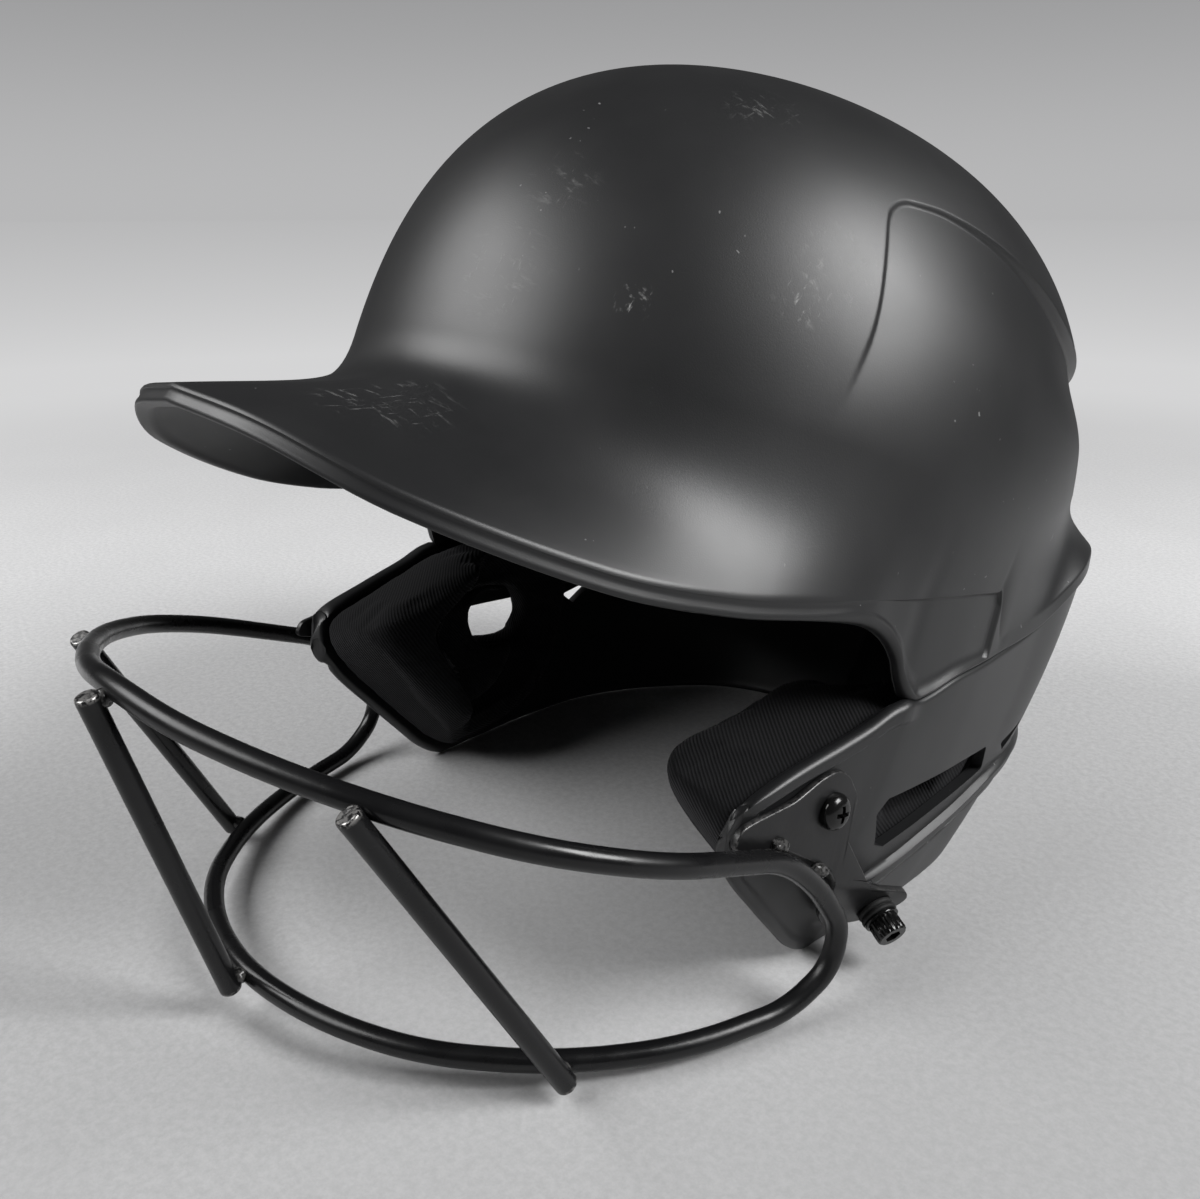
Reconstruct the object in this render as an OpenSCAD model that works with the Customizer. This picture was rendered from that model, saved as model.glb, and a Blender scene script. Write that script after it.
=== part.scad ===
// Softball batting helmet with a bent-wire face guard, in millimetres.
// It stands on its bottom rim, pitched back, as it does on a shelf.
// Helmet frame: +X is the wearer's left, the face looks along -Y, +Z is the crown.

/* [Dome] */
// Half width of the dome, outside
dome_half_width = 105.5; // [100:0.5:110]
// Distance from the middle of the dome to the forehead, outside
dome_front = 128.5; // [122:0.5:134]
// Distance from the middle of the dome to the back, outside
dome_back = 128.5; // [123:0.5:132]
// Height of the crown over the middle of the dome
dome_height = 119; // [114:0.5:124]
// Fullness of the shoulders of the dome, lower is boxier
dome_fullness = 0.77; // [0.7:0.01:0.9]
// Wall of the upper shell
upper_wall = 3.2; // [2.4:0.1:4]
// Depth of the scallop under the crest at its front edge
scallop_front_depth = 0.9; // [0.4:0.1:1.6]
// Depth of the scallop under the crest at the back
scallop_back_depth = 3.2; // [1.5:0.1:4]

/* [Brim] */
// How far the brim's edge stands in front of the forehead
brim_reach = 55.5; // [44:0.5:62]
// Height of the brim's edge face
brim_edge = 4.6; // [3.5:0.1:6]
// Thickness of the brim's edge
brim_lip = 4; // [3:0.1:5]

/* [Lower shell] */
// Wall of the lower shell
lower_wall = 3.2; // [2.4:0.1:4]
// Step from the upper shell's skirt in to the lower shell
seam_step = 1.6; // [0.8:0.1:2.4]
// Gap between the two shells along the seam
seam_gap = 0.3; // [0.2:0.1:0.6]
// Height of the bead that runs round above the rim
rim_bead = 1.4; // [0.6:0.1:2]
// Pitch of the resting helmet, which is the angle of its bottom rim
pitch = 23; // [20:0.5:26]
// Distance of the rim's plane under the middle of the dome
rim_drop = 114.4; // [110:0.2:118]

/* [Padding] */
// Thickness of the foam liner
liner_wall = 11; // [8:0.5:14]
// Gap that the liner and the pads keep to what they are glued on
glue_gap = 0.3; // [0.2:0.1:0.5]
// Thickness of the comfort pads in the dome
comfort_pad = 9; // [6:0.5:12]
// Thickness of the jaw pads round their front
jaw_pad_front = 33; // [24:0.5:35]
// Thickness of the jaw pads behind the ear
jaw_pad_back = 16; // [12:0.5:20]
// Thickness of the jaw pads in the hollow for the ear
jaw_pad_ear = 11; // [8:0.5:14]
// Thickness of the raised ear pads on the jaw pads
ear_pad = 5; // [3:0.5:8]
// Height of the hole through the pads over the ear
ear_hole_d = 20; // [16:0.5:24]

/* [Guard] */
// Diameter of the guard's coated wire
wire_d = 5.6; // [5:0.1:6.5]
// Length of the strut ends past the hoops
strut_end = 0.8; // [0.4:0.2:6]
// Distance from the middle plane to the guard's side wires
side_wire_x = 103.5; // [101:0.5:106]
// Thickness of the side plates
plate_t = 2; // [1.5:0.1:3]
// Turn of the side plates, which draw in towards the front
plate_yaw = 5.5; // [3:0.5:8]
// Bend of the lower tab of the side plates
tab_tilt = 30; // [24:1:36]

/* [Fasteners] */
// Thread diameter of the guard's screws and bolts
thread_d = 5; // [4:0.5:6]
// Clearance of the holes round the threads, on the diameter
hole_clearance = 0.4; // [0.2:0.1:0.8]
// Diameter of the upper screws' pan heads
screw_head_d = 9.6; // [8:0.2:11]
// Height of the upper screws' pan heads
screw_head_h = 3.6; // [2.5:0.1:4.5]
// Diameter of the lower bolts' socket heads
bolt_head_d = 8.6; // [8:0.1:10]
// Height of the lower bolts' socket heads
bolt_head_h = 5; // [4:0.1:6]
// Diameter of the rubber bushings under the lower bolts
bushing_d = 10.4; // [9:0.2:12]
// Height of the rubber bushings
bushing_h = 3.2; // [2:0.1:5]
// Diameter of the washers on the bushings
washer_d = 10; // [9:0.2:12]
// Thickness of the washers
washer_t = 1; // [0.6:0.1:1.6]
// Diameter of the flanges of the nuts inside
nut_flange_d = 13; // [11:0.5:15]
// Thickness of the nuts' flanges
nut_flange_t = 1.4; // [1:0.1:2]
// Diameter of the nuts' barrels
nut_barrel_d = 6.8; // [6.6:0.1:8]

/* [Hidden] */
$fn = 32;

// The helmet's middle is moved so that the rim lies on z = 0 and the box is centred
box_middle = 34.15;
rest_shift = [0, box_middle, rim_drop * cos(pitch)];

// The dome's angle of a point, 0 at the front and 90 at the left side
function back_of(u) = cos(u) > 0 ? dome_front : dome_back;
function blend(a, b, t) = a * (1 - t) + b * t;
function ease(t) = t <= 0 ? 0 : t >= 1 ? 1 : t * t * (3 - 2 * t);
function unit(v) = v / norm(v);
function flat(v) = [v.x, v.y, 0];
function mirrored(p) = [-p.x, p.y, p.z];

// A smooth curve through the rows [key, value...] of a table, by key
function slot_of(table, key, i = 0) =
  i >= len(table) - 2 || key < table[i + 1][0] ? i : slot_of(table, key, i + 1);
function values(row) = [for (k = [1 : len(row) - 1]) row[k]];
function slope_at(table, i) =
  let (a = max(i - 1, 0), b = min(i + 1, len(table) - 1))
  (values(table[b]) - values(table[a])) / (table[b][0] - table[a][0]);
function curve(table, key) =
  let (
    i = slot_of(table, key),
    span = table[i + 1][0] - table[i][0],
    t = max(0, min(1, (key - table[i][0]) / span)),
    p = values(table[i]),
    q = values(table[i + 1]),
    m = slope_at(table, i) * span,
    n = slope_at(table, i + 1) * span
  )
  p * (2 * t ^ 3 - 3 * t ^ 2 + 1) + m * (t ^ 3 - 2 * t ^ 2 + t)
  + q * (3 * t ^ 2 - 2 * t ^ 3) + n * (t ^ 3 - t ^ 2);
function bezier(p, t) =
  p[0] * (1 - t) ^ 3 + p[1] * 3 * t * (1 - t) ^ 2 + p[2] * 3 * t ^ 2 * (1 - t) + p[3] * t ^ 3;

// The dome: a full ellipsoid whose sections stay round in plan
function latitude(z) = asin((max(z, 0) / dome_height) ^ (1 / dome_fullness));
function dome_at(u, v, inset = 0) =
  let (c = cos(v) ^ dome_fullness)
  [
    (dome_half_width - inset) * sin(u) * c,
    -(back_of(u) - inset) * cos(u) * c,
    (dome_height - inset) * sin(v) ^ dome_fullness
  ];

// The scallop under the crest, from its front edge round the back
scallop_start = 57.2;
scallop_deep_at = 130;
scallop_foot = 22;
CREST = [
  [57, 69], [60.5, 75], [67, 78.6], [79, 78.4], [91, 75.4], [104, 71], [130, 68.5], [180, 68]
];
function crest_z(u) = curve(CREST, max(u, CREST[0][0]))[0];
function scallop_depth(u, z) =
  let (
    reach = ease((u - scallop_start) / (scallop_deep_at - scallop_start)),
    depth = blend(scallop_front_depth, scallop_back_depth, reach),
    fade = ease((z - scallop_foot) / (0.6 * (crest_z(u) - scallop_foot)))
  )
  u < scallop_start || z >= crest_z(u) ? 0 : depth * fade;
function dome_skin(u, v, inset, below_crest) =
  let (p = dome_at(u, v, inset), z = p.z)
  p - unit(p) * (below_crest ? scallop_depth(u, min(z, crest_z(u) - 0.1)) : 0);

// The lower edge of the upper shell: brim, temple, and skirt round the back
brim_y = -(dome_front + brim_reach);
EDGE = [
  [0, 0, brim_y, -22.5],
  [11, 28, brim_y + 6, -25],
  [23, 55, brim_y + 25, -31.5],
  [39, 79, brim_y + 64, -35.2],
  [50.5, 89.5, -90, -33],
  [61, 96, -65, -28.5],
  [68, 99, -50, -27],
  [72, 100, -41, -28.5],
  [75, 101, -34.5, -32.5],
  [77, 101.5, -30, -38],
  [79, 102.5, -25.5, -41.8],
  [82, 103.5, -18, -39.2],
  [87, 104.5, -7, -32.6],
  [91, 104.8, 2, -28.5],
  [95, 104.8, 11, -24.4],
  [106, 105, 36, -11.5],
  [115, 104, 58, 6],
  [130, 88.5, 89, 17],
  [150, 56, 119, 23],
  [180, 0, 137.5, 25]
];
function edge(u) = curve(EDGE, u);

// Height of the edge face, with the bare temple panel between 70 and 97 degrees
FACE = [
  [0, 1], [61, 1.25], [68, 1.7], [72, 2.4], [75, 3.6], [77, 5.05], [79, 6.15], [82, 6],
  [87, 5.15], [91, 4.7], [92, 4.6], [95, 1.2], [97, 1.1], [106, 1.1], [180, 1.1]
];
function face_height(u) = brim_edge * curve(FACE, u)[0];

// Where the dome ends and the sweep to the edge begins, and the sweep's two handles
SWEEP = [
  [0, 14, 18, 13], [23, 14, 20, 16], [39, 14, 21, 17], [50, 14, 20, 15],
  [66, 14, 14, 12], [80, 13, 9, 8], [90, 13, 8, 7], [100, 18, 9, 7],
  [115, 30, 7, 6], [140, 42, 8, 6], [180, 44, 8, 6]
];
function outward(u) = unit(flat(edge(u)) - 0.6 * flat(dome_at(u, 0)));
function brimness(u) =
  let (reach = norm(flat(edge(u)) - flat(dome_at(u, 0))))
  reach / (reach + 9);
face_draft = 0.6;
function crease(u) = edge(u) + [0, 0, face_height(u)] - outward(u) * face_draft;
function sweep_points(u, inset) =
  let (
    s = curve(SWEEP, u),
    top = dome_skin(u, latitude(s[0]), inset, true),
    low = crease(u),
    run = flat(low) - flat(top),
    b = brimness(u),
    drop = inset > 0 ? b * brim_edge * 0.95 : 0,
    pull = inset > 0 ? (1 - b) * inset : 0
  )
  [
    top,
    top - [0, 0, s[1]],
    low - 0.72 * run + [0, 0, s[2] - drop] - outward(u) * pull,
    inset > 0 ? inner_crease(u) : low
  ];
function inner_crease(u) =
  crease(u) - outward(u) * (brim_lip + 1) - [0, 0, brimness(u) * (face_height(u) - 0.8)];

upper_rows_crown = 8;
upper_rows_side = 6;
upper_rows_sweep = 7;
crown_spread = 0.85;
crest_step = 1.2;
lip_round = 0.8;

// Half columns of the upper shell, doubled at the scallop's front edge
UPPER_HALF = concat(
  [for (i = [0 : 10]) i * 5], [53.5, 56.6, 57.8], [61, 65, 68, 70.5, 73, 75, 76.5, 78, 79.5, 82],
  [85, 88.5, 92.5, 97, 101.5, 106, 110.5, 115, 121, 128, 136, 145, 154, 163, 172, 180]
);
UPPER_COLUMNS = concat(
  [for (u = UPPER_HALF) [u, 1]],
  [for (i = [len(UPPER_HALF) - 2 : -1 : 1]) [UPPER_HALF[i], -1]]
);

function dome_rows(u, inset) =
  let (top = latitude(crest_z(u)), foot = latitude(curve(SWEEP, u)[0]))
  concat(
    [for (i = [1 : upper_rows_crown])
      dome_skin(u, blend(89.9, top, (i / upper_rows_crown) ^ crown_spread), inset, false)],
    [for (i = [0 : upper_rows_side - 1])
      dome_skin(u, blend(latitude(crest_z(u) - crest_step), foot, i / upper_rows_side), inset, true)]
  );
function outer_line(u) =
  let (s = sweep_points(u, 0), e = edge(u), k = crease(u), out = outward(u))
  concat(
    dome_rows(u, 0),
    [for (i = [0 : upper_rows_sweep]) bezier(s, i / upper_rows_sweep * 0.97)],
    [
      k + out * 0.2 - [0, 0, lip_round],
      e + [0, 0, lip_round],
      e - out * lip_round
    ]
  );
function inner_line(u) =
  let (s = sweep_points(u, upper_wall), e = edge(u), out = outward(u))
  concat(
    dome_rows(u, upper_wall),
    [for (i = [0 : upper_rows_sweep]) bezier(s, i / upper_rows_sweep)],
    [
      e - out * brim_lip + [0, 0, lip_round],
      e - out * (brim_lip - lip_round)
    ]
  );
function reverse(list) = [for (i = [len(list) - 1 : -1 : 0]) list[i]];
function sided(points, side) = [for (p = points) [side * p.x, p.y, p.z]];

// A skin of columns that close round the dome, with a point at each crown
module crowned_skin(columns, top, bottom) {
  rows = len(columns[0]);
  count = len(columns);
  points = concat([for (c = columns) each c], [top, bottom]);
  faces = concat(
    [for (i = [0 : count - 1], j = [0 : rows - 2])
      let (n = (i + 1) % count)
      each [
        [i * rows + j, n * rows + j + 1, i * rows + j + 1],
        [i * rows + j, n * rows + j, n * rows + j + 1]
      ]],
    [for (i = [0 : count - 1]) [count * rows, ((i + 1) % count) * rows, i * rows]],
    [for (i = [0 : count - 1])
      [count * rows + 1, (i + 1) * rows - 1, ((i + 1) % count + 1) * rows - 1]]
  );
  polyhedron(points, faces, convexity = 10);
}

// A skin of closed sections in a row, with both ends covered
module capped_skin(sections) {
  around = len(sections[0]);
  count = len(sections);
  half = floor(around / 2);
  last = (count - 1) * around;
  points = [for (s = sections) each s];
  faces = concat(
    [for (i = [0 : count - 2], j = [0 : around - 1])
      let (k = (j + 1) % around)
      each [
        [i * around + j, (i + 1) * around + k, i * around + k],
        [i * around + j, (i + 1) * around + j, (i + 1) * around + k]
      ]],
    [for (j = [0 : half - 2])
      each [
        [j, j + 1, around - 2 - j],
        [j, around - 2 - j, around - 1 - j]
      ]],
    [for (j = [0 : half - 2])
      each [
        [last + j, last + around - 2 - j, last + j + 1],
        [last + j, last + around - 1 - j, last + around - 2 - j]
      ]]
  );
  polyhedron(points, faces, convexity = 10);
}

module resting() {
  translate(rest_shift) rotate([-pitch, 0, 0]) children();
}

module upper_shell() {
  columns = [for (c = UPPER_COLUMNS) sided(concat(outer_line(c[0]), reverse(inner_line(c[0]))), c[1])];
  color("#26272a") resting()
    crowned_skin(columns, [0, 0, dome_height], [0, 0, dome_height - upper_wall]);
}

// The lower shell: its upper edge follows the flap's lip, then the seam
function rim_z(y) = -rim_drop + y * tan(pitch);
LIP = [
  [57, 92.2, -71, -78], [58.5, 93.2, -69.5, -74], [61, 94.6, -64.5, -69.5], [65, 96.4, -55, -63],
  [69, 98.4, -46, -57], [73, 100, -37.5, -51], [76, 101.2, -31, -45.5], [79, 102.3, -26, -42.5]
];
RIM = [
  [57, 90.2, -70.6, -84], [58.5, 89.4, -68, -88.5], [62, 88, -59, -95.5], [68, 86.6, -44, -103.5],
  [74, 85.8, -30, -110.5], [80, 85.2, -18, -116], [86, 85, -7, -117.4],
  [95.5, 86.5, 10, -110.2], [107, 88, 33, -100.4], [120, 85.5, 60, -88.9], [138, 71, 87, -77.5],
  [156, 47, 109, -68.1], [180, 0, 121.5, -62.8]
];
seam_at = 79;
function lip(u) =
  u <= seam_at ? curve(LIP, u)
  : edge(u) - [0, 0, seam_gap] - outward(u) * seam_step * ease((u - 92) / 16);
function rim(u) =
  let (p = curve(RIM, u))
  u >= 86 ? [p.x, p.y, rim_z(p.y)] : [p.x, p.y, max(p.z, rim_z(p.y))];
// A corner of the band's bottom, inside the rim and in the plane that it stands on
function bottom(u, inset) =
  let (p = rim(u) - unit(flat(lip(u))) * inset)
  [p.x, p.y, u >= 86 ? rim_z(p.y) : max(p.z, rim_z(p.y))];

// Handles of the section between lip and rim
BULGE = [
  [57, 1, 1, 1, 2], [61, 2.4, 5, 4.6, 7], [69, 0.6, 11, 9, 16], [79, 0.6, 22, 11.5, 21],
  [90, 0, 28, 11.5, 26], [107, 0, 36, 9, 30], [125, 0, 34, 9, 30],
  [150, 0, 34, 9, 32], [180, 0, 34, 8, 32]
];
function section(u) =
  let (b = curve(BULGE, u), t = lip(u), r = rim(u), out = unit(flat(t)))
  [t, t + out * b[0] - [0, 0, b[1]], r + out * b[2] + [0, 0, b[3]], r];
function body_at(u, t) = bezier(section(u), t);
function body_normal(u, t) =
  let (
    du = body_at(min(u + 1, 180), t) - body_at(u - (u >= 179.5 ? 1 : 0), t),
    t0 = min(t, 0.98),
    dt = body_at(u, t0 + 0.02) - body_at(u, t0)
  )
  unit(cross(dt, du));

// The band carries a thin flange behind the upper shell, and a bead above its rim
flange_wall = 2;
flange_slack = 1.8;
flange_share = 0.24;
bead_start = 88;
bead_row = 0.66;
lip_round_in = 0.7;
function bead(u, t) =
  rim_bead * ease((u - bead_start) / 12) * (abs(t - bead_row) < 0.02 ? 1 : 0);
BODY_ROWS = [0.03, 0.12, 0.24, 0.36, 0.48, 0.58, 0.66, 0.705, 0.735, 0.78, 0.88, 0.97];
function flange_face(u, share) =
  bezier(sweep_points(u, upper_wall), 1 - share * flange_share)
  - outward(u) * (seam_gap + flange_slack) - [0, 0, seam_gap];
function body_section(u) =
  let (
    out = unit(flat(lip(u))),
    top = lip(u),
    top_in = body_at(u, 0.03) - body_normal(u, 0.03) * lower_wall,
    flange = ease((u - 84) / 8),
    foot = edge(u) - outward(u) * (brim_lip + seam_gap),
    head = flange_face(u, flange)
  )
  concat(
    [top - out * lip_round_in],
    [for (t = BODY_ROWS) body_at(u, t) + body_normal(u, t) * bead(u, t)],
    [bottom(u, lip_round_in), bottom(u, lower_wall - 0.4)],
    [for (i = [len(BODY_ROWS) - 1 : -1 : 1])
      body_at(u, BODY_ROWS[i]) - body_normal(u, BODY_ROWS[i]) * lower_wall],
    [top_in - [0, 0, 1.5]],
    [flange > 0 ? head - out * flange_wall : top_in],
    [flange > 0 ? head : top_in + [0, 0, 0.6]],
    [flange > 0 ? foot - [0, 0, seam_gap] : top - out * 1.6]
  );
LOWER_HALF = [
  57, 57.6, 58.5, 60, 62.5, 65, 68, 71, 74, 77, 79, 81.5, 84, 86, 88, 90, 92, 95, 98, 102, 107, 112,
  118, 124, 131, 138, 147, 156, 165, 172, 180
];
LOWER_COLUMNS = concat(
  [for (u = LOWER_HALF) [u, 1]],
  [for (i = [len(LOWER_HALF) - 2 : -1 : 0]) [LOWER_HALF[i], -1]]
);

// The slot behind the ear, as corners on the side of the helmet
SLOT = [[-17.5, -74], [-16, -71], [31, -53], [36, -57], [-6, -81.5], [-11, -81]];
VENT = [[46, -48.5], [57, -41], [50, -50]];
slot_corner = 1.4;
vent_corner = 0.8;
cut_inner_x = 84;
cut_outer_x = 112;
module side_cut(corners, corner_r) {
  hull() for (c = corners)
    translate([cut_inner_x, c[0], c[1]]) rotate([0, 90, 0])
      cylinder(h = cut_outer_x - cut_inner_x, r = corner_r, $fn = 16);
}
module both_sides() {
  for (side = [0, 1]) mirror([side, 0, 0]) children();
}

module lower_shell() {
  sections = [for (c = LOWER_COLUMNS) sided(body_section(c[0]), c[1])];
  color("#222326") resting() difference() {
    capped_skin(sections);
    both_sides() {
      side_cut(SLOT, slot_corner);
      side_cut(VENT, vent_corner);
      hull() at_screw() barrel_hole();
      hull() at_bolt() barrel_hole();
      at_screw() translate([0, 0, -screw_seat]) nut_pocket();
      at_bolt() translate([0, 0, -bolt_seat]) nut_pocket();
    }
  }
}

// Foam liner and pads
liner_inset = upper_wall + glue_gap + scallop_back_depth;
liner_foot = 6;
module foam_liner() {
  step = 9;
  count = 360 / step;
  rows = 10;
  outer = function (u, v) dome_at(u, v, liner_inset);
  inner = function (u, v) dome_at(u, v, liner_inset + liner_wall);
  columns = [for (i = [0 : count - 1])
    let (u = i * step, foot = latitude(liner_foot))
    concat(
      [for (k = [1 : rows]) outer(u, blend(89, foot, k / rows))],
      [for (k = [rows : -1 : 1]) inner(u, blend(89, foot + 1, k / rows))]
    )];
  color("#17171a") resting()
    crowned_skin(columns, [0, 0, dome_height - liner_inset], [0, 0, dome_height - liner_inset - liner_wall]);
}

// A crowned cushion on a base: rings from the glued face over the edge to the crown
pad_around = 32;
PAD_RINGS = [
  [0.5, 0], [0.93, 0], [0.985, 0.18], [1, 0.42], [0.97, 0.66], [0.9, 0.84], [0.76, 0.94], [0.45, 0.99]
];
JAW_RINGS = [
  [0.5, 0], [0.93, 0], [0.985, 0.18], [1, 0.42], [0.98, 0.66], [0.92, 0.86], [0.8, 0.97],
  [0.64, 1], [0.48, 1], [0.26, 1]
];
function rounded(a, square) =
  let (c = cos(a), s = sin(a), k = (abs(c) ^ square + abs(s) ^ square) ^ (-1 / square))
  [c * k, s * k];
module cushion(center, half, square, thickness, base, inward, profile = PAD_RINGS) {
  ring = function (scale, lift)
    [for (i = [0 : pad_around - 1])
      let (
        d = rounded(i * 360 / pad_around, square),
        a = center[0] + half[0] * d[0] * scale,
        b = center[1] + half[1] * d[1] * scale
      )
      base(a, b) + inward(a, b) * (glue_gap + thickness(a, b) * lift)];
  rings = [for (r = profile) ring(r[0], r[1])];
  points = concat(
    [for (r = rings) each r],
    [
      base(center[0], center[1]) + inward(center[0], center[1]) * glue_gap,
      base(center[0], center[1])
        + inward(center[0], center[1]) * (glue_gap + thickness(center[0], center[1]))
    ]
  );
  count = len(rings);
  n = pad_around;
  faces = concat(
    [for (k = [0 : count - 2], i = [0 : n - 1])
      let (j = (i + 1) % n)
      each [[k * n + i, (k + 1) * n + j, k * n + j], [k * n + i, (k + 1) * n + i, (k + 1) * n + j]]],
    [for (i = [0 : n - 1]) [count * n, i, (i + 1) % n]],
    [for (i = [0 : n - 1]) [count * n + 1, (count - 1) * n + (i + 1) % n, (count - 1) * n + i]]
  );
  polyhedron(points, faces, convexity = 6);
}

liner_slack = 0.5;
function liner_face(u, v) = dome_at(u, v, liner_inset + liner_wall + liner_slack);
function liner_inward(u, v) = -unit(liner_face(u, v));
module dome_pad(center, half, square = 4) {
  color("#141416") resting()
    cushion([center[0], -center[1]], half, square, function (u, down) comfort_pad,
      function (u, down) liner_face(u, -down), function (u, down) liner_inward(u, -down));
}
module front_pad() dome_pad([0, 22], [34, 15]);
module side_pad_left() dome_pad([90, 24], [30, 17]);
module side_pad_right() dome_pad([-90, 24], [30, 17]);
module rear_pad() dome_pad([180, 22], [36, 15]);

// The crown pad is a round cushion under the middle of the liner
module crown_pad() {
  face = function (a, b)
    let (r = min(norm([a, b]), 60))
    liner_face(atan2(a, b), 90 - r);
  color("#141416") resting()
    cushion([0, 0.01], [26, 30], 2.6, function (a, b) comfort_pad,
      face, function (a, b) -unit(face(a, b)));
}

// Jaw pads lie on the inside of the flaps, ear pads lie on the jaw pads
function flap_face(u, t) = body_at(u, t) - body_normal(u, t) * lower_wall;
ear_center = [82, 0.52];
hollow = [20, 0.42];
function jaw_thickness(u, t) =
  let (r = norm([(u - ear_center[0]) / hollow[0], (t - ear_center[1]) / hollow[1]]))
  blend(blend(jaw_pad_front, jaw_pad_back, ease((u - 74) / 14)), jaw_pad_ear, ease((1.15 - r) / 0.5));
jaw_center = [83, 0.5];
jaw_half = [24.6, 0.46];
ear_half = [13.5, 0.27];

// The pads rise along the flap's direction a little way in, so that they don't fan out at its edges
function jaw_inward(u, t) = -body_normal(max(u, 64), blend(0.25, 0.75, t));
ear_hole = [[-5, -63], [8, -60]];
ear_cut_h = 60;
pad_step = 1.8;
pocket_slack = 0.5;
module ear_cut() {
  hull() for (p = ear_hole)
    translate([cut_inner_x - ear_cut_h / 2, p[0], p[1]]) rotate([0, 90, 0])
      cylinder(h = ear_cut_h, d = ear_hole_d);
}
module nut_pocket() {
  translate([0, 0, -barrel_reach]) cylinder(h = barrel_reach, d = nut_flange_d + 2 * pocket_slack);
}

// Space between the plate and the flap's wall at each fastener, and the depth of the seats
screw_space = 1.6;
bolt_space = 4.4;
screw_seat = lower_wall + plate_t + screw_space;
bolt_seat = lower_wall + plate_t + bolt_space;
module left_jaw_pad() {
  difference() {
    cushion(jaw_center, jaw_half, 4.5, function (u, t) jaw_thickness(u, t),
      function (u, t) flap_face(u, t), function (u, t) jaw_inward(u, t), JAW_RINGS);
    ear_cut();
    at_screw() nut_pocket();
    at_bolt() nut_pocket();
  }
}
module left_ear_pad() {
  difference() {
    cushion(ear_center, ear_half, 3, function (u, t) ear_pad,
      function (u, t) flap_face(u, t) + jaw_inward(u, t) * (jaw_thickness(u, t) + pad_step),
      function (u, t) jaw_inward(u, t));
    ear_cut();
  }
}
module jaw_pad_left() color("#141416") resting() left_jaw_pad();
module jaw_pad_right() color("#141416") resting() mirror([1, 0, 0]) left_jaw_pad();
module ear_pad_left() color("#19191c") resting() left_ear_pad();
module ear_pad_right() color("#19191c") resting() mirror([1, 0, 0]) left_ear_pad();

// The guard's closed wire, as corners of its centre line on the left side
plate_pivot_y = -40;
function on_plate(y) = side_wire_x + (y - plate_pivot_y) * tan(plate_yaw);
GUARD_HALF = [
  [0, -179, -84.4], [22, -175, -86.2], [46, -165.4, -87], [70, -151, -87],
  [91, -130, -86.5], [101.4, -104, -85.6], [on_plate(-61), -61, -84.4],
  [on_plate(-45), -45, -90], [side_wire_x + 0.6, -29.5, -100.5], [side_wire_x + 0.4, -27.5, -112.5],
  [100.5, -36, -124.5], [91.5, -62, -136], [75, -87.6, -145], [52, -108.6, -151.6],
  [27, -120, -154.6], [0, -124.4, -155.6]
];
GUARD_LOOP = concat(
  GUARD_HALF,
  [for (i = [len(GUARD_HALF) - 2 : -1 : 1]) mirrored(GUARD_HALF[i])]
);

function half_turn(points, i) =
  let (
    n = len(points),
    a = unit(points[i] - points[(i + n - 1) % n]),
    b = unit(points[(i + 1) % n] - points[i])
  )
  acos(min(1, a * b)) / 2;
function reach_at(points, i) =
  let (n = len(points))
  0.47 * min(norm(points[i] - points[(i + n - 1) % n]), norm(points[(i + 1) % n] - points[i]));

// A straight piece of wire between two points
module rod(p, q, d) {
  v = q - p;
  translate(p) rotate([0, acos(v.z / norm(v)), atan2(v.y, v.x)])
    cylinder(h = norm(v), d = d);
}

// The straight pieces are a hair thinner and reach into the bends
joint_lap = 0.5;
joint_step = 0.02;

// One bend of the wire at corner i, and the straight piece up to the next bend
module bend(points, i, d) {
  n = len(points);
  p = points[i];
  a = unit(p - points[(i + n - 1) % n]);
  b = unit(points[(i + 1) % n] - p);
  turn = 2 * half_turn(points, i);
  reach = reach_at(points, i);
  radius = reach / tan(turn / 2);
  inward = unit(b - a * (a * b));
  start = p - a * reach;
  middle = start + inward * radius;
  side = cross(-inward, a);
  multmatrix([
    [-inward.x, a.x, side.x, middle.x],
    [-inward.y, a.y, side.y, middle.y],
    [-inward.z, a.z, side.z, middle.z],
    [0, 0, 0, 1]
  ])
    rotate_extrude(angle = turn, $fn = 96) translate([radius, 0]) circle(d = d, $fn = 32);
  next = (i + 1) % n;
  rod(p + b * (reach - joint_lap), points[next] - b * (reach_at(points, next) - joint_lap), d - joint_step);
}

module guard_loop() {
  color("#1b1b1d") resting()
    for (i = [0 : len(GUARD_LOOP) - 1]) bend(GUARD_LOOP, i, wire_d);
}

// A strut lies on the outside of both hoops and ends past them
STRUT_CENTER = [[0, -178.7, -84.7], [0, -123.7, -155.5], [0, -1, 0]];
STRUT_SIDE = [[62.2, -156.1, -87], [76, -86, -144.4], [0.68, -0.72, -0.12]];
module strut(s) {
  along = unit(s[1] - s[0]);
  out = unit(s[2] - along * (along * s[2]));
  rod(s[0] + out * wire_d - along * strut_end, s[1] + out * wire_d + along * strut_end, wire_d);
}
module guard_strut_center() color("#1b1b1d") resting() strut(STRUT_CENTER);
module guard_strut_left() color("#1b1b1d") resting() strut(STRUT_SIDE);
module guard_strut_right() color("#1b1b1d") resting() mirror([1, 0, 0]) strut(STRUT_SIDE);

// Side plates: a flat panel behind the side wire, and a tab bent in under it
plate_outer_x = side_wire_x - wire_d / 2;
plate_inner_x = plate_outer_x - plate_t;
tab_top_z = -91;

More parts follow.
